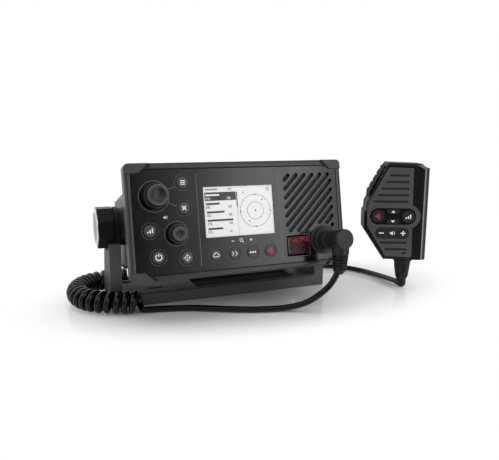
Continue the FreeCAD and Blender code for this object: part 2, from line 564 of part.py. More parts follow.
def rear_case():
    """Die-cast shell, open at the front, with a thick finned back."""
    body = plate(case_outline(0), CASE_FRONT, CASE_REAR)
    body = body.cut(plate(case_outline(CASE_WALL), CASE_FRONT - 1, HOLLOW_END))
    count = int((2 * CASE_HALF_W - 2 * CASE_TOP_CHAMFER) / FIN_PITCH)
    gaps = []
    for index in range(count):
        x = (index - (count - 1) / 2) * FIN_PITCH
        gaps.append(box(x - FIN_GAP / 2, x + FIN_GAP / 2, CASE_REAR - FIN_DEPTH, CASE_REAR + 1, -50, 50))
    body = body.cut(Part.makeCompound(gaps))
    for (x, z), half in REAR_PORTS.items():
        body = body.fuse(box(x - half, x + half, CASE_REAR - FIN_DEPTH - 1, CASE_REAR, z - half, z + half))
    for side in (-1, 1):
        wall, pad = side * CASE_HALF_W, side * (CASE_HALF_W + PIVOT_PAD)
        deep = side * (CASE_HALF_W - INSERT_DEPTH)
        body = body.fuse(rod(V(wall, 0, 0), V(pad, 0, 0), BOSS_R))
        body = body.fuse(rod(V(deep - 2 * side, 0, 0), V(wall, 0, 0), INSERT_R + 3))
        body = body.cut(rod(V(deep, 0, 0), V(pad + side, 0, 0), INSERT_R))
    for x, z in CASE_SCREWS:
        post = rod(V(x, CASE_FRONT, z), V(x, HOLLOW_END, z), POST_R)
        body = body.fuse(post.common(plate(case_outline(0), CASE_FRONT, CASE_REAR)))
        body = body.cut(rod(V(x, CASE_FRONT - 1, z), V(x, CASE_REAR + 1, z), SCREW_R))
        body = body.cut(rod(V(x, CASE_REAR - SCREW_SINK, z), V(x, CASE_REAR + 1, z), SCREW_HEAD_R))
    return body.removeSplitter()


def pivot_insert(side):
    """A threaded bush, drawn with a plain bore that clears its stud."""
    x0, x1 = side * (CASE_HALF_W - INSERT_DEPTH), side * (CASE_HALF_W + PIVOT_PAD)
    bush = rod(V(x0, 0, 0), V(x1, 0, 0), INSERT_R)
    return bush.cut(rod(V(x0 - side, 0, 0), V(x1 + side, 0, 0), STUD_R + STUD_GAP))


def friction_washer(side):
    x0, x1 = side * (CASE_HALF_W + PIVOT_PAD), side * (ARM_IN - WASHER_GAP)
    disc = rod(V(x0, 0, 0), V(x1, 0, 0), BOSS_R)
    return disc.cut(rod(V(x0 - side, 0, 0), V(x1 + side, 0, 0), STUD_R + 0.4))


def case_screw(x, z):
    seat = CASE_REAR - SCREW_SINK
    shank = rod(V(x, SCREW_TIP, z), V(x, seat, z), SCREW_R)
    head = rod(V(x, seat, z), V(x, seat + SCREW_HEAD_H, z), SCREW_HEAD_R)
    socket = rod(V(x, seat + 1.0, z), V(x, seat + SCREW_HEAD_H + 1, z), 1.4)
    return shank.fuse(head).removeSplitter().cut(socket)


def front_gasket():
    opening = plate(case_outline(OPENING_INSET), BEZEL_BACK - 1, CASE_FRONT + 1)
    return plate(case_outline(0), BEZEL_BACK, CASE_FRONT).cut(opening)


def rf_module():
    """The transmitter board under a folded shield can, against the finned back."""
    left, right, half_h, deep = RF_MODULE
    return box(left, right, HOLLOW_END - deep, HOLLOW_END, -half_h, half_h)


def antenna_socket():
    """Square flange, round barrel, and a hollow centre contact inside it."""
    (x, z), y = ANTENNA_AT, CASE_REAR
    half, thick = ANTENNA_FLANGE
    floor = y + thick + 1.6
    flange = box(x - half, x + half, y, y + thick, z - half, z + half)
    barrel = rod(V(x, y + thick, z), V(x, y + ANTENNA_LEN, z), ANTENNA_R)
    bore = rod(V(x, floor, z), V(x, y + ANTENNA_LEN + 1, z), ANTENNA_BORE_R)
    pin = rod(V(x, floor, z), V(x, y + ANTENNA_LEN - 3, z), ANTENNA_PIN_R)
    pin = pin.cut(rod(V(x, floor + 1, z), V(x, y + ANTENNA_LEN, z), ANTENNA_PIN_R - 1.0))
    return flange.fuse(barrel).cut(bore).fuse(pin).removeSplitter()


def rear_glands():
    """Power gland on the left, data socket in the middle."""
    (x, z), y = POWER_AT, CASE_REAR
    nut_r, nut_h, root_r, tip_r, length = POWER_GLAND
    nut = rod(V(x, y, z), V(x, y + nut_h, z), nut_r)
    gland = nut.fuse(cone(V(x, y + nut_h, z), V(x, y + length, z), root_r, tip_r))
    gland = gland.cut(rod(V(x, y + 2, z), V(x, y + length + 1, z), POWER_BORE_R))
    x, z = DATA_AT
    radius, length = DATA_SOCKET
    data = rod(V(x, y, z), V(x, y + length, z), radius)
    data = data.cut(rod(V(x, y + 3, z), V(x, y + length + 1, z), DATA_BORE_R))
    return [gland.removeSplitter(), data]


# ---- Gimbal knobs ---------------------------------------------------------------------------------
def gimbal_knob():
    """The right knob: eight flats, a chamfered inner rim, a crowned end and a short collar."""
    corner = KNOB_R
    flats = [V(KNOB_IN, corner * math.cos(a), PIVOT_Z + corner * math.sin(a))
             for a in (math.radians(KNOB_FIRST + 360 / KNOB_SIDES * i) for i in range(KNOB_SIDES))]
    grip = prism(flats, V(KNOB_OUT - KNOB_IN, 0, 0))
    profile = [(0, KNOB_IN), (corner - 2.0, KNOB_IN), (corner, KNOB_IN + 1.4), (corner, KNOB_OUT - 0.6),
               (corner - 1.2, KNOB_OUT), (0, KNOB_OUT)]
    wire = Part.makePolygon([V(x, r, 0) for r, x in profile + profile[:1]])
    envelope = Part.Face(wire).revolve(V(0, 0, 0), X_AXIS, 360)
    envelope.translate(V(0, 0, PIVOT_Z))
    grip = grip.common(envelope)
    crown = Part.makeSphere(KNOB_CROWN_R, V(KNOB_OUT + KNOB_CROWN - KNOB_CROWN_R, 0, PIVOT_Z))
    disc = rod(V(KNOB_OUT - 1, 0, PIVOT_Z), V(KNOB_OUT + 3, 0, PIVOT_Z), corner - 3.4).common(crown)
    bore = rod(V(KNOB_IN - 1, 0, PIVOT_Z), V(STUD_TIP, 0, PIVOT_Z), STUD_R)
    return grip.fuse(disc).cut(bore).removeSplitter()


def gimbal_stud():
    return rod(V(CASE_HALF_W - INSERT_DEPTH + 2, 0, PIVOT_Z), V(STUD_TIP, 0, PIVOT_Z), STUD_R)


# ---- Microphone socket and plug -------------------------------------------------------------------
def mic_socket():
    profile = [(9.0, -PANEL_T), (9.0, 0), (FLANGE_R, 0), (FLANGE_R, 0.9), (FLANGE_R - 0.8, 1.6),
               (SOCKET_R, 1.6), (SOCKET_R, RING_HIGH - 0.2), (SOCKET_BORE_R, RING_HIGH - 0.2),
               (SOCKET_BORE_R, -PANEL_T)]
    return spun(profile, MIC_AT, PANEL_Y)


def plug_ring():
    bore = SOCKET_R + RING_GAP
    profile = [(bore, RING_LOW), (RING_R - 0.5, RING_LOW), (RING_R, RING_LOW + 0.6),
               (RING_R, RING_HIGH - 1.0), (RING_R - 0.6, RING_HIGH), (bore, RING_HIGH)]
    ring = spun(profile, MIC_AT, PANEL_Y)
    grooves = []
    for index in range(RING_GROOVES):
        angle = 2 * math.pi * index / RING_GROOVES
        at = (MIC_AT[0] + RING_R * math.cos(angle), MIC_AT[1] + RING_R * math.sin(angle))
        grooves.append(on_panel(at, RING_LOW + 1.2, RING_HIGH - 1.4, RING_GROOVE_R))
    return ring.cut(Part.makeCompound(grooves))


def row_point(x, y, z):
    """A radio place as a row place."""
    turn = math.radians(TILT)
    return V(x, y * math.cos(turn) + z * math.sin(turn), PIVOT_Z - y * math.sin(turn) + z * math.cos(turn))


def leg_top():
    return row_point(MIC_AT[0], FACE_Y - LEG_OUT, MIC_AT[1])


def plug_body():
    """Nose in the socket, stepped barrel, three ribs, wide end cap, and the leg that hangs down."""
    bore = SOCKET_BORE_R - 0.2
    nose = [(0, -2.0), (bore, -2.0), (bore, RING_HIGH + 0.1), (PLUG_R + 0.6, RING_HIGH + 0.1),
            (PLUG_R + 0.6, BARREL_STEP - 0.6), (PLUG_R, BARREL_STEP), (PLUG_R, RIBS_LOW)]
    for index in range(3):
        h = RIBS_LOW + RIB_PITCH * index
        nose += [(PLUG_R - 1.0, h), (PLUG_R - 1.0, h + 0.9), (PLUG_R, h + 0.9), (PLUG_R, h + RIB_PITCH)]
    nose += [(PLUG_R, CAP_LOW_H), (PLUG_CAP_R, CAP_LOW_H + 0.4), (PLUG_CAP_R, PLUG_LEN - 0.9),
             (PLUG_CAP_R - 0.9, PLUG_LEN), (0, PLUG_LEN)]
    body = tilt(spun(nose, MIC_AT, PANEL_Y))
    top = leg_top()
    leg = rod(top, V(top.x, top.y, BOOT_TOP), LEG_R)
    return body.fuse(leg).removeSplitter()


def notch_row(at, radius, turn):
    """A ring of material to take out round the strain relief; two webs, turned by turn degrees, stay."""
    low = at - V(0, 0, BOOT_NOTCH)
    ring = rod(low, at, radius + 1).cut(rod(low, at, BOOT_CORE_R))
    web = box(-radius - 2, radius + 2, -1.6, 1.6, -BOOT_NOTCH - 1, 1)
    web.rotate(V(0, 0, 0), Z_AXIS, turn)
    web.translate(at)
    return ring.cut(web)


def plug_boot():
    """Notched strain relief: straight down, then leaning the way the cord leaves."""
    top = leg_top()
    start, bend, end = V(top.x, top.y, BOOT_TOP), V(top.x, top.y, BOOT_BEND), V(*LEAD_ROUTE[0])
    low_r = BOOT_R - BOOT_TAPER * BOOT_ROWS
    body = cone(start, bend, BOOT_R, low_r).fuse(Part.makeSphere(low_r, bend))
    body = body.fuse(cone(bend, end, low_r, BOOT_END_R))
    rows = []
    for index in range(BOOT_ROWS):
        at = start - V(0, 0, 1.2 + BOOT_PITCH * index)
        rows.append(notch_row(at, BOOT_R, 45 + 90 * (index % 2)))
    return body.cut(Part.makeCompound(rows)).removeSplitter()


# ---- Fist microphone ------------------------------------------------------------------------------
def on_flank(points):
    """Points given along the upper left flank and outwards from it, as (x, z)."""
    (x0, z0), (x1, z1) = FLANK_LOW, FLANK_TOP
    length = math.hypot(x1 - x0, z1 - z0)
    ax, az = (x1 - x0) / length, (z1 - z0) / length
    return [(x0 + ax * run - az * out, z0 + az * run + ax * out) for run, out in points]


def talk_slot(y0, y1):
    """Room for the push-to-talk bar, deeper at the top, where the bar swings in."""
    low, top = TALK_BAR[0][0] - TALK_GAP, TALK_BAR[-1][0] + TALK_GAP
    floor = -TALK_T - TALK_GAP
    points = [(low, floor), (low, 6.0), (top, 6.0), (top, floor - TALK_TRAVEL)]
    return plate(on_flank(points), y0, y1)


def loft(outline, y, far_outline, far_y):
    wires = [Part.makePolygon([V(x, at, z) for x, z in points + points[:1]])
             for points, at in ((outline, y), (far_outline, far_y))]
    return Part.makeLoft(wires, True, True)


def hand_column():
    """The column: a flat strip, then a round side."""
    flat_y = HAND_FRONT + HAND_PLATE_T
    inner, flat_end = V(COLUMN_X0, flat_y, HAND_LOW), V(COLUMN_FLAT, flat_y, HAND_LOW)
    side, back = V(COLUMN_X1, COLUMN_SIDE_Y, HAND_LOW), V(COLUMN_X1, HAND_SPLIT - 1, HAND_LOW)
    inner_back = V(COLUMN_X0, HAND_SPLIT - 1, HAND_LOW)
    edges = [Part.LineSegment(inner_back, inner).toShape(), Part.LineSegment(inner, flat_end).toShape(),
             Part.Arc(flat_end, V(*COLUMN_CREST, HAND_LOW), side).toShape(),
             Part.LineSegment(side, back).toShape(), Part.LineSegment(back, inner_back).toShape()]
    return Part.Face(Part.Wire(edges)).extrude(V(0, 0, COLUMN_TOP - HAND_LOW))


def front_cuts():
    """Everything taken out of the front half: slots, key well, holes, cavity and the bar's room."""
    cuts = [talk_slot(TALK_Y0 - TALK_GAP, HAND_SPLIT + 1),
            plate(FRONT_CAVITY, HAND_FRONT + HAND_WALL, HAND_SPLIT + 1)]
    for left, right, z in HAND_SLOTS:
        cuts.append(stadium((left + right) / 2, z, right - left, HAND_SLOT_W, HAND_FRONT - 1,
                            HAND_FRONT + HAND_SLOT_DEPTH))
    x, z, length, width = KEY_WELL
    cuts.append(stadium(x, z, length, width, HAND_FRONT - 1, HAND_FRONT + WELL_DEPTH))
    deep = HAND_FRONT + KEY_HOLE_DEPTH
    for at in HAND_KEYS.values():
        cuts.append(rod(V(at[0], HAND_FRONT, at[1]), V(at[0], deep, at[1]), HAND_KEY_R + KEY_GAP))
    for at in ARROW_KEYS.values():
        cuts.append(stadium(at[0], at[1], ARROW_LEN + 2 * KEY_GAP, ARROW_W + 2 * KEY_GAP, HAND_FRONT, deep))
    x, z, length, width = ROCKER
    cuts.append(stadium(x, z, length + 0.8, width + 0.6, HAND_FRONT - 1, deep))
    return Part.makeCompound(cuts)


def handset_front():
    """Front half: bevelled body, raised plate with a round bulge, and the column on its right."""
    plate_back, rim = HAND_FRONT + HAND_PLATE_T, HAND_FRONT + BEVEL_DEPTH
    body = loft(BEVEL_OUTLINE, plate_back, HAND_OUTLINE, rim).fuse(plate(HAND_OUTLINE, rim, HAND_SPLIT))
    corner = box(COLUMN_FLAT, COLUMN_X1 + 2, HAND_FRONT - 1, COLUMN_SIDE_Y, HAND_LOW - 1, COLUMN_TOP)
    body = body.cut(corner).fuse(hand_column())
    x, z = HAND_KEYS["handset_key_power_level"]
    groove = rod(V(x, plate_back - 1, z), V(x, plate_back + 0.7, z), BULGE_R + 0.7)
    body = body.cut(groove)
    body = body.fuse(plate(PLATE_OUTLINE, HAND_FRONT, plate_back + 1))
    body = body.fuse(rod(V(x, HAND_FRONT, z), V(x, plate_back + 1, z), BULGE_R))
    return body.cut(front_cuts()).removeSplitter()


def handset_rear():
    """Back half, its outline drawn in a little towards the back."""
    bevel_y, centre_x, centre_z = HAND_REAR - REAR_BEVEL, -8.0, 82.0
    share = 0.93
    back = [(centre_x + (x - centre_x) * share, centre_z + (z - centre_z) * share) for x, z in HAND_OUTLINE]
    body = plate(HAND_OUTLINE, HAND_SPLIT, bevel_y).fuse(loft(HAND_OUTLINE, bevel_y, back, HAND_REAR))
    body = body.cut(talk_slot(HAND_SPLIT - 1, TALK_Y1 + TALK_GAP))
    return body.cut(plate(REAR_CAVITY, HAND_SPLIT - 1, HAND_REAR - 3.0))


def push_to_talk():
    """The bar that stands out of the upper left flank, with grip grooves across it."""
    bar = plate(on_flank(TALK_BAR), TALK_Y0, TALK_Y1)
    (_, _), (_, _), (run0, out0), (run1, out1), _ = TALK_BAR
    for run in TALK_RIBS:
        out = out0 + (out1 - out0) * (run - run0) / (run1 - run0)
        (x, z), = on_flank([(run, out)])
        bar = bar.cut(rod(V(x, TALK_Y0 - 1, z), V(x, TALK_Y1 + 1, z), TALK_RIB_R))
    return bar


def hand_key(at):
    front = HAND_FRONT + WELL_DEPTH - 1.0 - HAND_KEY_PROUD
    body = rod(V(at[0], front, at[1]), V(at[0], HAND_FRONT + KEY_HOLE_DEPTH - 0.8, at[1]), HAND_KEY_R)
    rim = [e for e in body.Edges if e.BoundBox.YMax < front + 0.5]
    return body.makeFillet(0.5, rim)


def arrow_key(at):
    return stadium(at[0], at[1], ARROW_LEN, ARROW_W, HAND_FRONT + 0.3, HAND_FRONT + KEY_HOLE_DEPTH - 0.8)


def rocker():
    x, z, length, width = ROCKER
    return stadium(x, z, length, width, HAND_FRONT - 0.4, HAND_FRONT + 4.2)


def relief_windows():
    """Two rows of upright windows round the strain relief, the lower row between the upper ones."""
    windows = []
    for z0, z1, first in ((17.5, 26.0, 0.0), (10.5, 15.5, 45.0)):
        for index in range(4):
            window = box(-1.9, 1.9, -12, -6.2 if first == 0.0 else -5.0, z0, z1)
            window.rotate(V(0, 0, 0), Z_AXIS, first + 90 * index)
            window.translate(V(*RELIEF_AT, 0))
            windows.append(window)
    return Part.makeCompound(windows)


def handset_boot():
    """Strain relief under the microphone: collar, tapered body, and the ball that stands on the table."""
    x, y = RELIEF_AT
    shoulder_z = RELIEF_PROFILE[0][1]
    body = rod(V(x, y, shoulder_z), V(x, y, HAND_LOW), 9.8)
    for (r0, z0), (r1, z1) in zip(RELIEF_PROFILE, RELIEF_PROFILE[1:]):
        body = body.fuse(cone(V(x, y, z0), V(x, y, z1), r0, r1))
    body = body.cut(relief_windows())
    ball = V(x, y, ELBOW_Z)
    body = body.fuse(rod(V(x, y, RELIEF_PROFILE[-1][1]), ball, RELIEF_PROFILE[-1][0]))
    body = body.fuse(Part.makeSphere(ELBOW_R, ball)).fuse(cone(ball, V(*CORD_EXIT), ELBOW_R - 0.2, 3.6))
    return body.cut(box(-20, 20, -20, 20, -5, 0)).removeSplitter()


def hang_stud():
    x, z = HANG_AT
    neck = HAND_REAR + HANG_NECK[1]
    stem = rod(V(x, HAND_REAR, z), V(x, neck, z), HANG_NECK[0])
    head = rod(V(x, neck, z), V(x, neck + HANG_HEAD[1], z), HANG_HEAD[0])
    return stem.fuse(head).removeSplitter()


def handset_speaker():
    """The microphone's own loudspeaker, cut to the cavity's slope."""
    (x, z), radius, thick = HAND_SPEAKER
    front = HAND_FRONT + HAND_WALL + 0.1
    can = rod(V(x, front, z), V(x, front + thick, z), radius)
    return can.common(plate([(-30, 89), (4, 89), (4, 120), (-14, 120)], -12, 5))


# ---- Free cord ------------------------------------------------------------------------------------
def cord_path(name, route):
    """Straight runs joined by tangent arcs as large as the runs allow. Prints the tightest arc."""
    points = [V(*p) for p in route]
    edges, at, tightest = [], points[0], 1e9
    for before, corner, after in zip(points, points[1:], points[2:]):
        back, ahead = before - corner, after - corner
        reach = 0.45 * min(back.Length, ahead.Length)
        back.normalize()
        ahead.normalize()
        turn = math.pi - back.getAngle(ahead)
        radius = reach / math.tan(turn / 2)
        tightest = min(tightest, radius)
        first, last = corner + back * reach, corner + ahead * reach
        half = back + ahead
        half.normalize()
        middle = corner + half * (radius / math.cos(turn / 2) - radius)
        edges += [Part.LineSegment(at, first).toShape(), Part.Arc(first, middle, last).toShape()]
        at = last
    edges.append(Part.LineSegment(at, points[-1]).toShape())
    wire = Part.Wire(edges)
    print("%-10s length %.1f  tightest arc %.1f" % (name, wire.Length, tightest))
    return wire


def shortened(route, end):
    """The route with its first or last point drawn back a little, clear of a strain relief that moves."""
    points = list(route)
    at, inner = V(*points[end]), V(*points[1 if end == 0 else -2])
    run = inner - at
    points[end] = tuple(at + run * (CORD_GAP / run.Length))
    return points


def cord_tube(name, route, radius):
    wire = cord_path(name, route)
    start, ahead = V(*route[0]), V(*route[1])
    ring = Part.Wire([Part.Circle(start, ahead - start, radius).toShape()])
    tube = wire.makePipeShell([ring], True, True)
    wanted = math.pi * radius ** 2 * wire.Length
    print("%-10s volume %.0f of %.0f" % (name, tube.Volume, wanted))
    return tube


# ---- Everything ------------------------------------------------------------------------------------
def make_bracket():
    save("bracket", bracket())


def make_front():
    save("front_bezel", tilt(front_bezel()))
    save("corner_caps", *[tilt(cap) for cap in corner_caps()])
    save("side_rails", *[tilt(side_rail(side)) for side in (-1, 1)])
    save("front_panel", tilt(front_panel()))
    save("front_gasket", tilt(front_gasket()))
    save("knob_rings", tilt(knob_ring(CHANNEL_AT, CHANNEL_RING_R)), tilt(knob_ring(VOLUME_AT, VOLUME_RING_R)))
    save("lcd_window", tilt(lcd_window()))
    save("lcd_module", tilt(lcd_module()))
    for node, shape in zip(("speaker_frame", "speaker_cone", "speaker_magnet"), speaker_parts()):
        save(node, tilt(shape))
    save("key_mat", tilt(key_mat()))
    save("main_board", tilt(main_board()))
    save("encoder_bodies", tilt(encoder_body(CHANNEL_AT)), tilt(encoder_body(VOLUME_AT)))


def make_controls():
    for node, (at, key_r, _) in key_places().items():
        save(node, tilt(key(at, key_r)))
    save("channel_shaft", tilt(control_shaft(CHANNEL_AT, CHANNEL_H)))
    save("channel_knob", tilt(control_knob(CHANNEL_AT, CHANNEL_RADII, CHANNEL_H)))
    save("volume_shaft", tilt(control_shaft(VOLUME_AT, VOLUME_H)))
    save("volume_knob", tilt(control_knob(VOLUME_AT, VOLUME_RADII, VOLUME_H)))
    save("distress_key", tilt(distress_key()))
    save("distress_cover", tilt(distress_cover()))
    save("distress_pin", tilt(distress_pin()))


def make_case():
    save("rear_case", tilt(rear_case()))
    save("pivot_inserts", *[tilt(pivot_insert(side)) for side in (-1, 1)])
    save("friction_washers", *[tilt(friction_washer(side)) for side in (-1, 1)])
    save("case_screws", *[tilt(case_screw(x, z)) for x, z in CASE_SCREWS])
    save("rf_module", tilt(rf_module()))
    save("antenna_socket", tilt(antenna_socket()))
    save("rear_glands", *[tilt(shape) for shape in rear_glands()])


def make_gimbal():
    knob, stud = gimbal_knob(), gimbal_stud()
    save("gimbal_knob_right", knob)
    save("gimbal_stud_right", stud)
    save("gimbal_knob_left", mirrored(knob))
    save("gimbal_stud_left", mirrored(stud))


def make_plug():
    save("mic_socket", tilt(mic_socket()))
    save("plug_ring", tilt(plug_ring()))
    save("plug_body", plug_body())
    save("plug_boot", plug_boot())


def make_handset():
    save("handset_front", hand(handset_front()))
    save("handset_rear", hand(handset_rear()))
    save("handset_boot", hand(handset_boot()))
    save("push_to_talk", hand(push_to_talk()))
    for node, at in HAND_KEYS.items():
        save(node, hand(hand_key(at)))
    for node, at in ARROW_KEYS.items():
        save(node, hand(arrow_key(at)))
    save("handset_rocker", hand(rocker()))
    save("handset_hang_stud", hand(hang_stud()))
    save("handset_speaker", hand(handset_speaker()))


def make_cord():
    end = FreeCAD.Rotation(Z_AXIS, -HAND_YAW).multVec(V(*CORD_EXIT)) + V(HAND_AT[0], HAND_AT[1], 0)
    save("cord_lead", cord_tube("lead", shortened(LEAD_ROUTE, 0), CORD_D / 2))
    save("cord_curl", cord_tube("curl", CURL_ROUTE, CURL_R))
    save("cord_tail", cord_tube("tail", shortened(TAIL_ROUTE + [tuple(end)], -1), CORD_D / 2))


def main():
    os.makedirs("parts", exist_ok=True)
    make_bracket()
    make_front()
    make_controls()
    make_case()
    make_gimbal()
    make_plug()
    make_handset()
    make_cord()


main()
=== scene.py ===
"""Looks of a marine VHF radio on its gimbal bracket, with a fist microphone on a curly cord.

Everything is in metres in the frame of the CAD model. Sizes are written in millimetres and turned into
metres by MM. Two local frames are used (right, up, outwards): PANEL lies on the front panel, and HAND_FACE
on the front of the fist microphone.
"""

import bisect
import bmesh
import bpy
import json
import math
from mathutils import Matrix, Vector

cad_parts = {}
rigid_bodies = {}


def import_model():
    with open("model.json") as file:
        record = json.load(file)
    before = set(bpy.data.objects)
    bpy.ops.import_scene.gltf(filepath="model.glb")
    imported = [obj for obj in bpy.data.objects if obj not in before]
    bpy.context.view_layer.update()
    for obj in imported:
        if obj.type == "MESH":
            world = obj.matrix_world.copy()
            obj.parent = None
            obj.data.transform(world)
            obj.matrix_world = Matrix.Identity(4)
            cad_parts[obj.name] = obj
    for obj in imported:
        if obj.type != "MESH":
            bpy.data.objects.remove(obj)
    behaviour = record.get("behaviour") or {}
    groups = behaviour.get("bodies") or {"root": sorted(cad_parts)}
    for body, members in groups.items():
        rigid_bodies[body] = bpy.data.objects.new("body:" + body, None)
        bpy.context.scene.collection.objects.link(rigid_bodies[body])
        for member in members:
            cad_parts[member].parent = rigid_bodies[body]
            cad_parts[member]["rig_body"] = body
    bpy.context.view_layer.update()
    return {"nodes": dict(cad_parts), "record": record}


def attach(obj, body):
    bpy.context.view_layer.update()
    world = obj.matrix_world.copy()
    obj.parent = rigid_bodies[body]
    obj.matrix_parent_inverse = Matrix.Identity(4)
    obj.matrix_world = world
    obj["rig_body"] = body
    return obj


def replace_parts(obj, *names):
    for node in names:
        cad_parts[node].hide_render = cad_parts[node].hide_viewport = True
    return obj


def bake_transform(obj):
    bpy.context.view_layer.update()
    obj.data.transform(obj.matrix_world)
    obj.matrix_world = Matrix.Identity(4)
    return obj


MM = 0.001
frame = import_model()

# ---- Camera, mm, degrees and pixels ----
CAMERA_AT = (-169.7, -504.6, 159.7)
CAMERA_YAW, CAMERA_PITCH = 21.99, 10.14
FOCAL_PX, PHOTO_W = 524.75, 499
SENSOR = 36.0

# ---- Places and sizes shared with the CAD model, mm ----
TILT = 10.57
PIVOT_Z = 74.9
FACE_Y, PANEL_Y = -71.1, -70.3  # the frame's face and the panel's, square to the case
FRAME_RISE = PANEL_Y - FACE_Y  # the frame's face lies this far above the panel's
HAND_AT, HAND_YAW, HAND_FRONT = (185.6, -58.5), 27.0, -16.0
CHANNEL_AT, CHANNEL_H = (-79.4, 22.0), 19.5
VOLUME_AT, VOLUME_H = (-62.0, -10.7), 12.2
SIDE_KEYS = {"key_menu": (-53.9, 33.1), "key_clear": (-54.0, 11.1), "key_power_level": (-84.7, -6.9),
             "key_power": (-78.8, -29.6), "key_waypoint": (-54.1, -31.9)}
ROW_KEYS = {"key_weather": (-27.9, -32.0), "key_scan": (-10.5, -32.0), "key_triple_watch": (6.9, -32.0),
            "key_calling": (24.3, -32.0)}
SIDE_KEY_R, SIDE_SEAT_R = 5.3, 7.2
ROW_KEY_R, ROW_SEAT_R = 5.1, 6.7
KEY_TOP, KEY_LOW = 0.75, -2.2  # crown of a key above the panel, and its lower end
LCD = (-35.8, 30.6, -16.2, 28.5)  # left, right, low and high on the panel
DISTRESS = (41.9, 65.0, -39.0, -19.8)
GRILLE = (43.3, 91.8, -15.2, 36.6)
PANEL_T = 3.0
KNOB_END = 122.2  # outer end of each gimbal knob, from the centre
HAND_KEYS = {"handset_key_calling": (-29.0, 78.6), "handset_key_power_level": (1.5, 78.4)}
ARROW_KEYS = {"handset_key_up": (-13.8, 83.5), "handset_key_down": (-13.8, 73.4)}
ROCKER_AT, ROCKER_REACH = (-14.1, 61.3), 11.0
CORD_D = 5.7
CURL_AXIS_R, CURL_TURNS = 7.6, 22

# The free cord's route, as in the CAD model.
LEAD_ROUTE = [(77.6, -105.3, 37.1), (72.7, -106.0, 28.8), (64.1, -103.0, 19.4), (52.4, -94.5, 8.2),
              (37.0, -85.6, 3.2), (19.0, -81.5, 2.9), (0.0, -75.0, 2.9), (-21.0, -64.2, 2.9),
              (-42.5, -52.2, 2.9), (-62.0, -46.0, 2.9), (-85.3, -40.9, 2.9)]
CURL_ROUTE = [(-85.6, -40.8, 10.5), (-102.0, -36.0, 10.5), (-118.0, -30.0, 10.5), (-131.5, -19.5, 10.5),
              (-139.8, -4.0, 10.5), (-141.4, 14.0, 10.5), (-136.6, 31.5, 10.5), (-125.0, 44.5, 10.5),
              (-108.5, 51.0, 10.5), (-91.0, 53.2, 10.5), (-74.0, 53.0, 10.5)]
TAIL_ROUTE = [(-73.3, 53.0, 2.9), (-48.0, 56.5, 2.9), (-16.0, 61.0, 2.9), (18.0, 63.0, 2.9),
              (52.0, 63.5, 2.9), (86.0, 61.5, 2.9), (118.0, 56.0, 2.9), (146.0, 47.0, 2.9),
              (167.0, 31.0, 2.9), (179.0, 10.5, 2.9), (184.5, -12.0, 2.9), (186.6, -34.0, 3.4),
              (186.33, -50.68, 4.0)]


def turned(angle, axis):
    return Matrix.Rotation(math.radians(angle), 4, axis)


def front_of(base, along):
    """Local X to the right, Y up and Z out of an upright face, which lies this far along the base's Y."""
    return base @ Matrix.Translation((0, along * MM, 0)) @ turned(90, "X")


LEVEL = Matrix.Identity(4)
PANEL = front_of(Matrix.Translation((0, 0, PIVOT_Z * MM)) @ turned(-TILT, "X"), PANEL_Y)
HAND_FACE = front_of(Matrix.Translation(Vector((*HAND_AT, 0)) * MM) @ turned(-HAND_YAW, "Z"), HAND_FRONT)


# ---- Camera, stage and light ----
def new_object(name, data):
    made = bpy.data.objects.new(name, data)
    bpy.context.scene.collection.objects.link(made)
    return made


def make_camera():
    data = bpy.data.cameras.new("camera")
    data.sensor_width = SENSOR
    data.lens = FOCAL_PX / PHOTO_W * SENSOR
    data.clip_start = 0.01
    camera = new_object("camera", data)
    camera.location = Vector(CAMERA_AT) * MM
    camera.rotation_euler = (math.radians(90 - CAMERA_PITCH), 0, math.radians(-CAMERA_YAW))
    bpy.context.scene.camera = camera


class Graph:
    """A node tree and the few calls that the materials need. A value is a number, a colour or a socket."""

    def __init__(self, tree):
        self.tree = tree
        self.surface = tree.nodes.get("Principled BSDF")

    def feed(self, value, socket):
        if isinstance(value, bpy.types.NodeSocket):
            self.tree.links.new(value, socket)
        else:
            socket.default_value = value

    def drive(self, name, value):
        """Feed a value to the surface's socket of this name."""
        self.feed(value, self.surface.inputs[name.replace("_", " ")])

    def add(self, kind, *values, **settings):
        """A new node; values go to its first sockets, and settings to what they name."""
        node = self.tree.nodes.new("ShaderNode" + kind)
        for name, value in settings.items():
            if hasattr(node, name):
                setattr(node, name, value)
            else:
                self.feed(value, node.inputs[name])
        for value, socket in zip(values, node.inputs):
            self.feed(value, socket)
        return node

    def math(self, operation, *values):
        return self.add("Math", *values, operation=operation).outputs[0]

    def ramp(self, *values):
        """A value from low..high onto at_low..at_high, in this order, with soft ends."""
        return self.add("MapRange", *values, interpolation_type="SMOOTHSTEP").outputs[0]

    def texture(self, kind, **settings):
        return self.add("Tex" + kind, self.add("TexCoord").outputs["Object"], **settings)

    def noise(self, **settings):
        return self.texture("Noise", **settings).outputs["Fac"]

    def colours(self, share, low, high):
        """The surface's colour goes from low to high with share."""
        node = self.add("Mix", share, data_type="RGBA")
        self.feed(low, node.inputs[6])
        self.feed(high, node.inputs[7])
        self.drive("Base Color", node.outputs[2])

    def bump(self, height, strength, size):
        node = self.add("Bump", Height=height, Strength=strength, Distance=size)
        self.drive("Normal", node.outputs[0])
        return node

    def overlay(self, share, below, above):
        """One shader takes this share of the surface from the other."""
        node = self.add("MixShader", share, below.outputs[0], above.outputs[0])
        self.feed(node.outputs[0], self.tree.nodes["Material Output"].inputs["Surface"])


STUDIO_AMBIENT = 0.72  # light from the surroundings, for the matt part of every surface
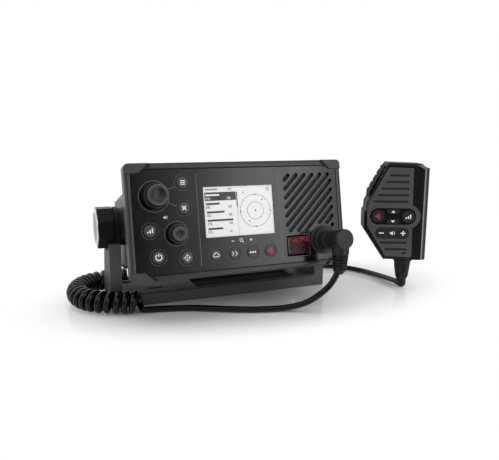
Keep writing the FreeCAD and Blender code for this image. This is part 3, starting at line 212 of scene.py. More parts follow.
# What gloss sees round the horizon: brightness at each bearing, degrees right of straight ahead.
HORIZON = [(-180, 0.9), (-172, 1.0), (-100, 1.0), (-62, 0.25), (-8, 0.03), (9, 0.05), (16, 0.8),
           (23, 2.7), (27, 3.4), (29, 3.1), (33, 1.0), (42, 0.8), (56, 0.3), (84, 0.12), (112, 0.7),
           (146, 0.7), (160, 0.4), (176, 0.9), (180, 0.9)]
HORIZON_PEAK = max(level for _, level in HORIZON)
LOW_SHARE, HIGH_SHARE = 0.8, 1.1  # of that brightness, at the table's level and 20 degrees above it
CEILING, OVERHEAD = 1.1, 0.3  # brightness halfway up, and straight above
# Sines of the heights over which it goes from share to share, to the ceiling, and to overhead.
SHARE_BAND, CEILING_BAND, OVERHEAD_BAND = (0.0, 0.35), (0.3, 0.6), (0.74, 0.95)


def horizon_level(graph, share):
    """Brightness at this share of the way round, from HORIZON."""
    ramp = graph.add("ValToRGB", share)
    ramp.color_ramp.interpolation = "EASE"
    stops = ramp.color_ramp.elements
    while len(stops) < len(HORIZON):
        stops.new(0.5)
    for stop, (degrees_right, level) in zip(stops, HORIZON):
        stop.position = degrees_right / 360 + 0.5
        stop.color = (*[level / HORIZON_PEAK] * 3, 1)
    return graph.math("MULTIPLY", ramp.outputs[0], HORIZON_PEAK)


def make_world():
    """White surroundings; gloss sees a dark patch before the radio and a bright wall at its right."""
    world = bpy.data.worlds.new("studio")
    world.use_nodes = True
    bpy.context.scene.world = world
    graph = Graph(world.node_tree)
    across, along, up = graph.add("SeparateXYZ", graph.add("TexCoord").outputs["Generated"]).outputs
    bearing = graph.math("ARCTAN2", across, graph.math("MULTIPLY", along, -1.0))
    level = horizon_level(graph, graph.math("MULTIPLY_ADD", bearing, 0.5 / math.pi, 0.5))
    low = graph.math("MULTIPLY", level, graph.ramp(up, *SHARE_BAND, LOW_SHARE, HIGH_SHARE))
    climb = graph.ramp(up, *CEILING_BAND, 0.0, 1.0)
    high = graph.math("MULTIPLY", climb, graph.ramp(up, *OVERHEAD_BAND, CEILING, OVERHEAD))
    gloss = graph.math("ADD", graph.math("MULTIPLY", low, graph.math("SUBTRACT", 1.0, climb)), high)
    rays = graph.add("LightPath").outputs
    seen = graph.math("MAXIMUM", rays["Is Camera Ray"], rays["Is Transmission Ray"])
    glossy = rays["Is Glossy Ray"]
    matt = graph.math("MULTIPLY", graph.math("SUBTRACT", 1.0, glossy), STUDIO_AMBIENT)
    lit = graph.math("ADD", graph.math("MULTIPLY", glossy, gloss), matt)
    background = world.node_tree.nodes["Background"]
    background.inputs["Color"].default_value = (1, 1, 1, 1)
    graph.feed(graph.math("MAXIMUM", seen, lit), background.inputs["Strength"])


LIT_PLACE = (0.03, -0.05, 0.05)
# Each lamp's place, width, height and radiance.
LAMPS = {"key": ((0.8, -1.0, 0.8), 0.6, 0.6, 4.0), "top": ((0.05, 0.1, 1.3), 1.3, 1.0, 0.9),
         "left": ((-1.1, -0.1, 0.7), 0.6, 0.6, 0.8)}


def softbox(name, place, width, height, radiance):
    """An even area lamp, aimed at the radio; gloss doesn't see it."""
    data = bpy.data.lights.new(name, "AREA")
    data.shape = "RECTANGLE"
    data.size, data.size_y = width, height
    data.energy = radiance * math.pi * width * height
    lamp = new_object(name, data)
    lamp.location = place
    lamp.visible_glossy = False
    aim = Vector(LIT_PLACE) - Vector(place)
    lamp.rotation_euler = aim.to_track_quat("-Z", "Y").to_euler()


FLOOR_CENTRE, FLOOR_HALF = (0.038, -0.01, 0), (0.195, 0.108, 1)
# Shares of that oval: over two of them the floor turns into the background, and at the third it ends.
FLOOR_FADE, FLOOR_REACH = (0.72, 1.28), 1.35
FLOOR_DROP = 0.0003  # it lies this far below the object's lowest point


def make_floor():
    """A pale floor that keeps shadows and a faint reflection, and fades into the background."""
    mesh = bpy.data.meshes.new("floor")
    wide, deep = FLOOR_REACH * FLOOR_HALF[0], FLOOR_REACH * FLOOR_HALF[1]
    corners = [(x * wide, y * deep, 0) for x, y in ((-1, -1), (1, -1), (1, 1), (-1, 1))]
    mesh.from_pydata(corners, [], [(0, 1, 2, 3)])
    floor = new_object("floor", mesh)
    floor.location = Vector(FLOOR_CENTRE) - Vector((0, 0, FLOOR_DROP))
    material, graph = principled("floor", (0.85, 0.85, 0.85), 0.12, Specular_IOR_Level=0.5)
    place = graph.add("NewGeometry").outputs["Position"]
    for operation, by in (("SUBTRACT", FLOOR_CENTRE), ("DIVIDE", FLOOR_HALF), ("LENGTH", (0, 0, 0))):
        node = graph.add("VectorMath", place, by, operation=operation)
        place = node.outputs[0]
    far = graph.ramp(node.outputs["Value"], *FLOOR_FADE, 0.0, 1.0)
    share = graph.math("MULTIPLY", far, graph.add("LightPath").outputs["Is Camera Ray"])
    graph.overlay(share, graph.surface, graph.add("Emission"))
    mesh.materials.append(material)


# ---- Materials ----
ARM_SHADE_Z = 61.0  # painted shade: the arms of the bracket are painted near-black above this height, where they lie in shade round the pivot
THREAD_PITCH, EDGE_R = 0.0006, 0.0004  # metres; edges catch the light as if rounded by EDGE_R


def shade(colour, factor):
    return (*[part * factor for part in colour], 1)


def principled(name, colour, roughness, **settings):
    """A new material with its main values set on the shader's own sockets."""
    material = bpy.data.materials.new(name)
    material.use_nodes = True
    graph = Graph(material.node_tree)
    graph.drive("Base Color", (*colour, 1))
    graph.drive("Roughness", roughness)
    for key, value in settings.items():
        graph.drive(key, value)
    return material, graph


def uneven_gloss(graph, noise, low, high):
    graph.drive("Roughness", graph.ramp(noise, 0.3, 0.7, low, high))


def moulded(name, colour, roughness, cloud, share, size, strength, **settings):
    """Clouds of colour and gloss, cloud metres across, and fine bumps, size metres across."""
    material, graph = principled(name, colour, roughness, **settings)
    clouds = graph.noise(Scale=1 / cloud, Detail=3.0)
    graph.colours(clouds, shade(colour, 1 - share), shade(colour, 1 + share))
    uneven_gloss(graph, clouds, roughness - 0.04, roughness + 0.04)
    bump = graph.bump(graph.noise(Scale=1 / size, Detail=2.0), strength, size)
    graph.feed(graph.add("Bevel", samples=4, Radius=EDGE_R).outputs[0], bump.inputs["Normal"])
    return material


def plastic(name, colour, roughness, size=0.0004, strength=0.25, share=0.12, gloss=0.5):
    """Moulded plastic; gloss is the specular level, 0.5 for a clean surface and less for a dusty one."""
    return moulded(name, colour, roughness, 0.02, share, size, strength, Specular_IOR_Level=gloss)


def with_shaded_arm_tops(name, colour, roughness):
    """Painted bracket whose arms are painted near-black towards their tops: painted shade round the pivot."""
    material = plastic(name, colour, roughness, 0.0005, 0.35, 0.1, 0.3)
    graph = Graph(material.node_tree)
    paint = graph.surface.inputs["Base Color"].links[0].from_socket
    height = graph.add("SeparateXYZ", graph.add("NewGeometry").outputs["Position"]).outputs["Z"]
    # painted shade: the paint turns near-black over a millimetre above the arms' shade height
    graph.colours(graph.ramp(height, ARM_SHADE_Z * MM, (ARM_SHADE_Z + 1) * MM, 0.0, 1.0), paint, shade((1, 1, 1), 0.006))
    return material


def rubber(name, colour, roughness, gloss=0.35):
    return moulded(name, colour, roughness, 0.012, 0.15, 0.0003, 0.2, Specular_IOR_Level=gloss)


def cord_rubber(name, colour, roughness, gloss=0.3, coat=0.1):
    """Glossy skin with very faint extrusion waves."""
    return moulded(name, colour, roughness, 0.006, 0.2, 0.0012, 0.05, Specular_IOR_Level=gloss,
                   Coat_Weight=coat, Coat_Roughness=0.1)


def smoke(name, colour, roughness):
    """Dark, glossy, see-through-looking plastic."""
    return moulded(name, colour, roughness, 0.004, 0.3, 0.0008, 0.05, Coat_Weight=0.3, Coat_Roughness=0.1)


def metal(name, colour, roughness):
    """Turned or drawn metal: fine scratches stretched along one direction."""
    material, graph = principled(name, colour, roughness, Metallic=1.0)
    stretch = graph.add("Mapping", graph.add("TexCoord").outputs["Object"], Scale=(1, 1, 12))
    scratches = graph.add("TexNoise", stretch.outputs[0], Scale=900.0, Detail=3.0)
    uneven_gloss(graph, scratches.outputs["Fac"], roughness - 0.06, roughness + 0.08)
    return material


def board_green(name, colour, roughness):
    """Solder mask with lighter copper runs."""
    material, graph = principled(name, colour, roughness)
    runs = graph.texture("Brick", Scale=120.0, Color1=shade(colour, 1), Color2=shade(colour, 1.4),
                         Mortar=shade(colour, 2))
    graph.drive("Base Color", runs.outputs["Color"])
    return material


def clear_glass(name, colour, roughness):
    """A thin clear pane: mostly see-through, with a faint reflection."""
    material, graph = principled(name, colour, roughness)
    share = graph.math("MULTIPLY", graph.add("Fresnel", IOR=1.35).outputs[0], 0.6)
    graph.overlay(share, graph.add("BsdfTransparent"), graph.add("BsdfGlossy", Roughness=roughness))
    return material


def glowing(name, colour, strength):
    """Printed or backlit: its own faint light on top of its colour. On printed marks that light is painted
    light.
    """
    material, graph = principled(name, colour, 0.5, Emission_Color=(*colour, 1), Emission_Strength=strength)
    uneven_gloss(graph, graph.noise(Scale=400.0), 0.45, 0.55)
    return material


def red_window(name, colour, roughness):
    """Cloudy red plastic of the distress cover."""
    material, graph = principled(name, colour, roughness, Specular_IOR_Level=0.15)
    clouds = graph.ramp(graph.noise(Scale=320.0, Detail=4.0), 0.35, 0.65, 0.0, 1.0)
    graph.colours(clouds, shade(colour, 0.2), shade(colour, 1.8))
    return material


def woven(name, colour, roughness):
    """Loudspeaker cloth: two crossing sets of threads."""
    material, graph = principled(name, colour, roughness)
    threads = [graph.texture("Wave", wave_type="BANDS", bands_direction=direction, Scale=0.05 / THREAD_PITCH)
               for direction in ("X", "Z")]
    weave = graph.math("MAXIMUM", *[thread.outputs["Fac"] for thread in threads])
    graph.colours(weave, shade(colour, 0.5), shade(colour, 1.3))
    graph.bump(weave, 0.5, THREAD_PITCH)
    return material


# Finishes of the CAD model's slots, and of pieces that differ from their slot: how each is made, its colour,
# its roughness and what else its kind takes. A neutral colour is its level in red and green, and in blue.
COLOURED = {
    "brass": (metal, (0.72, 0.55, 0.28), 0.3),
    "nickel": (metal, (0.7, 0.68, 0.64), 0.24),
    "window": (clear_glass, (0.9, 0.92, 0.95), 0.08),
    "board": (board_green, (0.02, 0.11, 0.05), 0.35),
    "distress": (plastic, (0.3, 0.02, 0.02), 0.35),
    "cover": (red_window, (0.026, 0.008, 0.008), 0.24),
    # printed red, with a faint painted glow
    "ink_red": (glowing, (0.75, 0.03, 0.04), 0.1),
    # painted highlight on the distress cover's red field
    "glow": (red_window, (0.17, 0.016, 0.016), 0.3),
    "cover_smoke": (smoke, (0.02, 0.012, 0.012), 0.2),
}
NEUTRAL = {
    "bracket": (with_shaded_arm_tops, 0.094, 0.096, 0.5),
    "frame": (plastic, 0.024, 0.025, 0.32),
    "panel": (plastic, 0.006, 0.0064, 0.13, 0.0003, 0.02, 0.06),
    "trim": (plastic, 0.052, 0.053, 0.34),
    "rubber": (rubber, 0.01, 0.01, 0.5),
    "case": (plastic, 0.016, 0.017, 0.34, 0.0006, 0.25),
    "steel": (metal, 0.56, 0.57, 0.32),
    "display": (glowing, 0.82, 0.82, 0.22),
    "cone": (rubber, 0.012, 0.012, 0.8),
    "magnet": (metal, 0.12, 0.125, 0.5),
    "shield": (metal, 0.6, 0.61, 0.35),
    "key": (plastic, 0.056, 0.057, 0.45, 0.0003, 0.15),
    "knob": (rubber, 0.016, 0.0165, 0.34, 0.5),
    "gimbal": (plastic, 0.011, 0.0114, 0.34, 0.0004, 0.15, 0.12, 0.22),
    "plug": (plastic, 0.021, 0.0215, 0.34, 0.0004, 0.2, 0.12, 0.35),
    "cord": (cord_rubber, 0.0025, 0.0027, 0.12),
    "handset": (plastic, 0.009, 0.0093, 0.4, 0.0004, 0.12, 0.12, 0.2),
    # printed white, with a faint painted glow
    "ink_white": (glowing, 0.86, 0.86, 0.1),
    "ink_line": (plastic, 0.115, 0.118, 0.4),
    "screen_white": (glowing, 0.8, 0.81, 0.28),
    "screen_dark": (glowing, 0.035, 0.038, 0.02),
    "screen_grey": (glowing, 0.3, 0.31, 0.06),
    # near-black for painted shade: the channel knob's dimples, the joints beside the rails, the line along
    # the bracket's lip and the boot's core
    "dimple": (rubber, 0.006, 0.006, 0.6),
    "knob_face": (plastic, 0.045, 0.046, 0.38),
    # light grey of the painted highlights on the knobs and their rings, and of the right divider's line
    "crest": (plastic, 0.17, 0.172, 0.35),
    "hand_plate": (plastic, 0.076, 0.077, 0.42, 0.0004, 0.25),
    "hand_column": (cord_rubber, 0.01, 0.0105, 0.07, 1.0, 1.0),
    "hand_slot": (plastic, 0.04, 0.041, 0.5),
    "hand_key": (plastic, 0.026, 0.027, 0.4, 0.0003, 0.15, 0.1, 0.3),
    "rail": (plastic, 0.036, 0.0365, 0.22, 0.0004, 0.04, 0.05, 0.35),
    "talk_bar": (plastic, 0.005, 0.0052, 0.5, 0.0004, 0.1, 0.1, 0.07),
    "cap": (plastic, 0.04, 0.041, 0.36, 0.0005, 0.2, 0.08),
    "badge_ring": (metal, 0.82, 0.83, 0.25),
    "badge": (metal, 0.36, 0.37, 0.3),
    "cloth": (woven, 0.055, 0.056, 0.8),
    # painted shade: the near-black sheet in the bracket's tray
    "mat": (rubber, 0.003, 0.003, 0.9),
}
MATERIALS = {name: make(name, *values) for name, (make, *values) in COLOURED.items()}
for name, (make, level, blue, *values) in NEUTRAL.items():
    MATERIALS[name] = make(name, (level, level, blue), *values)
SLOT_OF = {part["node"]: part["material_slot"] for part in frame["record"]["subparts"]}


def dress_nodes():
    for node, piece in frame["nodes"].items():
        piece.data.materials.clear()
        piece.data.materials.append(MATERIALS[SLOT_OF[node]])


# ---- Building pieces ----
def body_of(node):
    return frame["nodes"][node]["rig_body"]


def new_piece(name, mesh, slot, finish=None):
    """A new piece with its slot's material or another finish."""
    piece = new_object(name, mesh)
    mesh.materials.append(MATERIALS[finish or slot])
    return piece


def modify(piece, kind, **settings):
    """Bake a modifier with these settings into the piece's mesh."""
    modifier = piece.modifiers.new(kind, kind)
    for name, value in settings.items():
        setattr(modifier, name, value)
    graph = bpy.context.evaluated_depsgraph_get()
    mesh = bpy.data.meshes.new_from_object(piece.evaluated_get(graph), depsgraph=graph)
    piece.modifiers.clear()
    piece.data = mesh


def smooth_by_angle(mesh, angle=30):
    mesh.shade_smooth()
    mesh.set_sharp_from_angle(angle=math.radians(angle))


def round_edges(piece, width):
    """Round the piece's sharp edges by width millimetres."""
    modify(piece, "BEVEL", width=width * MM, segments=2, limit_method="ANGLE",
           angle_limit=math.radians(28), use_clamp_overlap=True)
    smooth_by_angle(piece.data, 40)
    modify(piece, "WEIGHTED_NORMAL", keep_sharp=True, weight=100)


def softened(node, width, finish=None):
    """A copy of a CAD piece, in its place, with its sharp edges rounded by width millimetres."""
    source = frame["nodes"][node]
    form = bmesh.new()
    form.from_mesh(source.data)
    bmesh.ops.remove_doubles(form, verts=form.verts, dist=2e-6)
    bmesh.ops.dissolve_limit(form, angle_limit=math.radians(0.6), verts=form.verts, edges=form.edges)
    mesh = bpy.data.meshes.new(node + "_soft")
    form.to_mesh(mesh)
    form.free()
    piece = new_piece(node + "_soft", mesh, SLOT_OF[node], finish)
    round_edges(piece, width)
    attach(piece, source["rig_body"])
    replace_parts(piece, node)


def arc(x, y, radius, start=0, end=360, steps=32):
    """Points round (x, y). A full turn leaves out the last point, which would repeat the first."""
    count = steps if end - start >= 360 else steps + 1
    angles = [math.radians(start + (end - start) * step / steps) for step in range(count)]
    return [(x + radius * math.cos(a), y + radius * math.sin(a)) for a in angles]


def round_box(box, radius, grow=0.0):
    """The outline of a box (left, right, low, high), grown by this much, with round corners."""
    x0, x1, y0, y1 = box[0] - grow, box[1] + grow, box[2] - grow, box[3] + grow
    corners = ((x1, y1, 0), (x0, y1, 90), (x0, y0, 180), (x1, y0, 270))
    points = []
    for x, y, start in corners:
        cx = x - radius if x == x1 else x + radius
        cy = y - radius if y == y1 else y + radius
        points += arc(cx, cy, radius, start, start + 90, 6)
    return points


class Form:
    """A mesh made up of closed shapes, in the X, Y and height of a place, in millimetres."""

    def __init__(self, place):
        self.place = place
        self.mesh = bmesh.new()

    def vert(self, x, y, height):
        return self.mesh.verts.new(self.place @ (Vector((x, y, height)) * MM))

    def band(self, near, far):
        """Quads between two closed rows of vertices."""
        sides = len(near)
        for side in range(sides):
            after = (side + 1) % sides
            self.mesh.faces.new((near[side], near[after], far[after], far[side]))

    def tube(self, rows, closed=False):
        """Bands between rows of vertices; the ends are capped unless the rows close on themselves."""
        for near, far in zip(rows, rows[1:] + rows[:1] if closed else rows[1:]):
            self.band(near, far)
        if not closed:
            self.mesh.faces.new(rows[0][::-1])
            self.mesh.faces.new(rows[-1])
        return self

    def area(self, outline, low, high):
        """A plate with this outline."""
        return self.tube([[self.vert(x, y, height) for x, y in outline] for height in (low, high)])

    def stroke(self, points, width, low, high, closed=False):
        """A flat line of this width along points."""
        rows = []
        count = len(points)
        for index, point in enumerate(points):
            here = Vector(point)
            before = Vector(points[index - 1]) if closed or index else here
            after = Vector(points[(index + 1) % count]) if closed or index < count - 1 else here
            lean = (after - before).normalized()
            side = Vector((-lean.y, lean.x)) * width / 2
            left, right = here + side, here - side
            rows.append([self.vert(*left, low), self.vert(*right, low), self.vert(*right, high),
                         self.vert(*left, high)])
        return self.tube(rows, closed)

    def circle(self, x, y, radius, height, sides):
        return [self.vert(*point, height) for point in arc(x, y, radius, steps=sides)]

    def lathe(self, x, y, profile, sides=72):
        """A turned form about (x, y); profile is (radius, height) and starts and ends on the axis."""
        low, high = self.vert(x, y, profile[0][1]), self.vert(x, y, profile[-1][1])
        rows = [self.circle(x, y, *point, sides) for point in profile[1:-1]]
        for near, far in zip(rows, rows[1:]):
            self.band(near, far)
        for side in range(sides):
            after = (side + 1) % sides
            self.mesh.faces.new((low, rows[0][after], rows[0][side]))
            self.mesh.faces.new((high, rows[-1][side], rows[-1][after]))
        return self

    def ring(self, x, y, section, sides=96):
        """A ring about (x, y); section is its closed outline as (radius, height)."""
        return self.tube([self.circle(x, y, *point, sides) for point in section], True)

    def mesh_data(self, name):
        """The finished mesh, with its faces turned outwards."""
        bmesh.ops.recalc_face_normals(self.mesh, faces=self.mesh.faces)
        data = bpy.data.meshes.new(name)
        self.mesh.to_mesh(data)
        self.mesh.free()
        return data

    def piece(self, name, slot, body, finish=None):
        made = new_piece(name, self.mesh_data(name), slot, finish)
        smooth_by_angle(made.data)
        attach(made, body)
        return made


# ---- The free cord ----
CURL_STEPS = CURL_TURNS * 28  # points along the curly stretch
CURL_EASE = 0.055  # share of the stretch over which the first and last turn open out


def route_line(name, route):
    """Points along the smooth line that has the route's points as its control points."""
    curve = bpy.data.curves.new(name, "CURVE")
    curve.dimensions = "3D"
    spline = curve.splines.new("NURBS")
    spline.points.add(len(route) - 1)
    for point, place in zip(spline.points, route):
        point.co = (*(Vector(place) * MM), 1)
    spline.order_u = 3
    spline.use_endpoint_u = True
    spline.resolution_u = 16
    carrier = bpy.data.objects.new(name, curve)
    mesh = bpy.data.meshes.new_from_object(carrier)
    line = [vertex.co.copy() for vertex in mesh.vertices]
    bpy.data.objects.remove(carrier)
    return line


def lengths_along(line):
    total = [0.0]
    for a, b in zip(line, line[1:]):
        total.append(total[-1] + (b - a).length)
    return total


def at_length(line, totals, wanted):
    index = min(bisect.bisect_left(totals, wanted, 1), len(line) - 1)
    span = totals[index] - totals[index - 1]
    return line[index - 1].lerp(line[index], (wanted - totals[index - 1]) / span if span else 0.0)


def winding_rate(share):
    """How fast the curl winds at this share of it: a little uneven, and slow at its ends."""
    edge = min(1.0, min(share, 1 - share) / CURL_EASE)
    uneven = 1 + 0.06 * math.sin(share * 23.0) + 0.04 * math.sin(share * 61.0 + 1.0)
    return (3 * edge ** 2 - 2 * edge ** 3) * uneven


def helix_line():
    """The curly stretch; it starts and ends under its axis, where the straight cord lies."""
    axis = route_line("curl_axis", CURL_ROUTE)
    totals = lengths_along(axis)
    rates = [winding_rate((step + 0.5) / CURL_STEPS) for step in range(CURL_STEPS)]
    scale = 2 * math.pi * CURL_TURNS / sum(rates)
    points, angle = [], 0.0
    for step, rate in enumerate(rates + [0.0]):
        along = totals[-1] * step / CURL_STEPS
        middle = at_length(axis, totals, along)
        ahead = at_length(axis, totals, min(along + MM, totals[-1]))
        behind = at_length(axis, totals, max(along - MM, 0.0))
        tangent = (ahead - behind).normalized()
        side = tangent.cross(Vector((0, 0, 1))).normalized()
        up = side.cross(tangent)
        points.append(middle + CURL_AXIS_R * MM * (math.sin(angle) * side - math.cos(angle) * up))
        angle += rate * scale
    return points


def rings_along(path, radius, sides):
    """Rings of places round each point of a path, with as little twist as possible."""
    rings = []
    tangent = (path[1] - path[0]).normalized()
    across = tangent.orthogonal().normalized()
    for index, point in enumerate(path):
        before, after = path[max(index - 1, 0)], path[min(index + 1, len(path) - 1)]
        heading = (after - before).normalized()
        across = (across - heading * across.dot(heading)).normalized()
        other = heading.cross(across)
        rings.append([point + radius * (math.cos(a) * across + math.sin(a) * other)
                      for a in (2 * math.pi * side / sides for side in range(sides))])
    return rings


def skin(name, rings):
    """A closed tube through rings of places."""
    form = Form(LEVEL)
    form.tube([[form.mesh.verts.new(place) for place in ring] for ring in rings])
    piece = new_piece(name, form.mesh_data(name), "cord")
    smooth_by_angle(piece.data, 60)
    return piece


def make_cords():
    lead, tail, curl = route_line("lead", LEAD_ROUTE), route_line("tail", TAIL_ROUTE), helix_line()
    path = lead + curl[1:] + tail[1:]
    first, last = len(lead), len(lead) + len(curl) - 1
    rings = rings_along(path, CORD_D / 2 * MM, 16)
    pieces = []
    for node, start, end in (("cord_lead", 0, first), ("cord_curl", first - 1, last),
                             ("cord_tail", last - 1, len(path))):
        piece = skin(node + "_jacket", rings[start:end])
        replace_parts(piece, node)
        pieces.append((piece, path[start:end]))
    (lead_piece, lead_path), (curl_piece, curl_path), (tail_piece, tail_path) = pieces
    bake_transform(lead_piece)
    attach(curl_piece, "root")
    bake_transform(tail_piece)


# ---- Marks ----
MARK_T = 0.05  # thickness of a printed mark
CLOUD = [(-2.2, -1.5), (2.2, -1.5), (3.1, -0.6), (2.7, 0.5), (1.8, 0.8), (1.2, 2.0), (-0.2, 2.4),
         (-1.5, 1.8), (-1.9, 0.7), (-3.0, 0.3), (-3.2, -0.8)]
HORN = [(-1.6, -0.6), (-0.6, -0.6), (0.5, -1.5), (0.5, 1.5), (-0.6, 0.6), (-1.6, 0.6)]
MINUS = ("line", [(-1.3, 0), (1.3, 0)], 0.6)
# Each sign's areas, lines and loops about its own centre; lines and loops have a width.
MARKS = {
    "menu": [("line", [(-2.2, y), (2.2, y)], 0.75) for y in (1.6, 0.0, -1.6)],
    "clear": [("line", [(-1.9, -y), (1.9, y)], 1.0) for y in (1.9, -1.9)],
    "power_level": [("line", [(x, -2.0), (x, top)], 1.1) for x, top in ((-2.1, -0.5), (0, 0.8), (2.1, 2.2))],
    "power": [("line", arc(0, 0, 2.7, 125, 415, 28), 0.85), ("line", [(0, 0.6), (0, 3.3)], 0.85)],
    "waypoint": [("loop", arc(0, 0, 2.0, steps=24), 0.5), ("area", arc(0, 0, 0.55, steps=12))]
                + [("line", [(2.3 * x, 2.3 * y), (3.6 * x, 3.6 * y)], 0.5)
                   for x, y in ((1, 0), (0, 1), (-1, 0), (0, -1))],
    "weather": [("loop", CLOUD, 0.65)],
    "scan": [("line", [(x, 2.0), (x + 1.7, 0), (x, -2.0)], 0.65) for x in (-2.7, 0.7)],
    "triple_watch": [("area", arc(x, 0, 0.85, steps=14)) for x in (-2.4, 0.0, 2.4)],
    "calling": [("area", arc(-1.9, 0, 0.9, steps=14))]
               + [("line", arc(-2.2, 0, radius, -48, 48, 12), 0.7) for radius in (2.2, 4.0)],
    "volume": [("area", HORN), ("line", arc(0.2, 0, 1.5, -45, 45, 8), 0.4)],
    "minus": [MINUS],
    "plus": [MINUS, ("line", [(0, -1.3), (0, 1.3)], 0.6)],
    "lens": [("loop", arc(-0.4, 0.4, 1.3, steps=20), 0.45), ("line", [(0.6, -0.6), (1.9, -1.9)], 0.6)],
    "up": [("area", [(-1.9, -1.0), (1.9, -1.0), (0, 1.3)])],
    "down": [("area", [(-1.9, 1.0), (0, -1.3), (1.9, 1.0)])],
}


def print_mark(name, place, at, height, mark, slot, body, scale=1.0):
    """Print a sign on a surface at this height; the calling sign is red."""
    form = Form(place)
    for kind, points, *width in MARKS[mark]:
        moved = [(at[0] + scale * x, at[1] + scale * y) for x, y in points]
        if kind == "area":
            form.area(moved, height, height + MARK_T)
        else:
            form.stroke(moved, width[0] * scale, height, height + MARK_T, kind == "loop")
    form.piece(name, slot, body, "ink_red" if mark == "calling" else "ink_white")


# ---- Keys, knobs and lines of the panel ----
def make_keys():
    """Round keys with a crowned top, each in a seat with a thin bright rim, and their marks."""
    seats = Form(PANEL)
    for places, radius, seat_r in ((SIDE_KEYS, SIDE_KEY_R, SIDE_SEAT_R), (ROW_KEYS, ROW_KEY_R, ROW_SEAT_R)):
        profile = [(0, KEY_LOW), (radius, KEY_LOW), (radius, 0.0), (radius - 0.15, 0.32),
                   (radius - 0.5, 0.52), (radius * 0.6, KEY_TOP - 0.05), (0, KEY_TOP)]
        for node, (u, v) in places.items():
            cap = Form(PANEL).lathe(u, v, profile).piece(node + "_cap", "key", body_of(node))
            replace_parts(cap, node)
            print_mark(node + "_mark", PANEL, (u, v), KEY_TOP - 0.03, node.removeprefix("key_"), "key",
                       body_of(node), 0.95)
            seats.stroke(arc(u, v, seat_r - 0.15, steps=48), 0.32, -0.45, 0.12, True)
    seats.piece("key_seat_rims", "panel", "radio", "ink_line")


# Each knob's place and height, its ring's radius, and the radii of its skirt, body, face and dish.
KNOBS = {"channel": (CHANNEL_AT, CHANNEL_H, 13.6, 10.3, 9.1, 8.5, 5.9),
         "volume": (VOLUME_AT, VOLUME_H, 10.9, 8.2, 6.5, 5.9, 3.1)}
DIMPLE_ROWS, DIMPLE_R = (6.7, 7.4), 0.22
DIMPLES, DIMPLE_START, DIMPLE_STEP = 20, 62, 9  # in a row; degrees


def knob_profile(skirt_r, body_r, face_r, dish_r, height):
    """A wide skirt with a rounded rim, a step down to the slim body, and a dished end."""
    rim, crest = height * 0.70, height - 0.9
    return [(0, 0.4), (skirt_r - 0.5, 0.4), (skirt_r - 0.3, 1.0), (skirt_r - 0.1, rim * 0.5),
            (skirt_r + 0.25, rim - 1.3), (skirt_r + 0.3, rim - 0.6), (skirt_r + 0.1, rim - 0.15),
            (skirt_r - 0.3, rim), (body_r + 0.35, rim - 0.1), (body_r + 0.1, rim - 0.5), (body_r, rim + 0.6),
            (body_r, rim + 1.0), (body_r + 0.15, rim + 1.2), (body_r + 0.15, rim + 1.6),
            (face_r + 0.35, crest), (face_r + 0.2, crest + 0.4), (face_r - 0.15, crest + 0.72),
            (face_r - 0.7, height), (dish_r + 0.45, height), (dish_r + 0.1, height - 0.12),
            (dish_r - 0.25, height - 0.45), (dish_r * 0.6, height - 1.1), (dish_r * 0.3, height - 1.35),
            (0, height - 1.4)]


def make_knob(name, at, height, skirt_r, body_r, face_r, dish_r):
    """The turned knob, the lighter ring on its end, and a painted highlight along that ring's rim."""
    body = body_of(name + "_knob")
    knob = Form(PANEL).lathe(*at, knob_profile(skirt_r, body_r, face_r, dish_r, height), 96)
    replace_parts(knob.piece(name + "_knob_turned", "knob", body), name + "_knob")
    inner, outer = dish_r + 0.15, face_r - 0.35
    section = [(inner, height - 0.3), (outer, height - 0.3), (outer, height), (outer - 0.2, height + 0.06),
               (inner + 0.2, height + 0.06), (inner, height)]
    Form(PANEL).ring(*at, section).piece(name + "_knob_face", "knob", body, "knob_face")
    # painted highlight: a thin light stroke along the face ring's rim
    rim = Form(PANEL).stroke(arc(*at, face_r - 0.25, steps=96), 0.35, height - 0.3, height + 0.1, True)
    rim.piece(name + "_knob_rim_highlight", "knob", body, "crest")


def make_knobs():
    """Both knobs, their rings with a painted highlight along each crest, the channel knob's dimples as
    painted shade, and the volume knob's pointer.
    """
    rings, ring_highlights, dots = Form(PANEL), Form(PANEL), Form(PANEL)
    for name, (at, height, ring_r, *radii) in KNOBS.items():
        make_knob(name, at, height, *radii)
        section = [(ring_r, -1.2), (ring_r, 0.3), (ring_r - 0.12, 0.55), (ring_r - 0.4, 0.66),
                   (ring_r - 0.75, 0.6), (ring_r - 1.1, 0.3), (ring_r - 1.5, -0.9), (ring_r - 1.5, -1.2)]
        rings.ring(*at, section)
        # painted highlight along each ring's crest
        ring_highlights.stroke(arc(*at, ring_r - 0.4, steps=96), 0.45, 0.5, 0.74, True)
    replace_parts(rings.piece("knob_rings_turned", "trim", "radio"), "knob_rings")
    ring_highlights.piece("knob_ring_painted_highlights", "trim", "radio", "crest")
    for row, radius in enumerate(DIMPLE_ROWS):
        for step in range(DIMPLES):
            angle = math.radians(DIMPLE_START + DIMPLE_STEP * (step + 0.5 * row))
            at = (CHANNEL_AT[0] + radius * math.cos(angle), CHANNEL_AT[1] + radius * math.sin(angle))
            # painted shade: each dimple is a flat near-black disc
            dots.area(arc(*at, DIMPLE_R, steps=8), CHANNEL_H, CHANNEL_H + 0.1)
    dots.piece("channel_knob_dimples", "knob", body_of("channel_knob"), "dimple")
    u, v = VOLUME_AT
    pointer = Form(PANEL).stroke([(u, v + 4.1), (u, v + 5.4)], 0.9, VOLUME_H, VOLUME_H + 0.3)
    pointer.piece("volume_knob_pointer", "knob", body_of("volume_knob"), "ink_line")


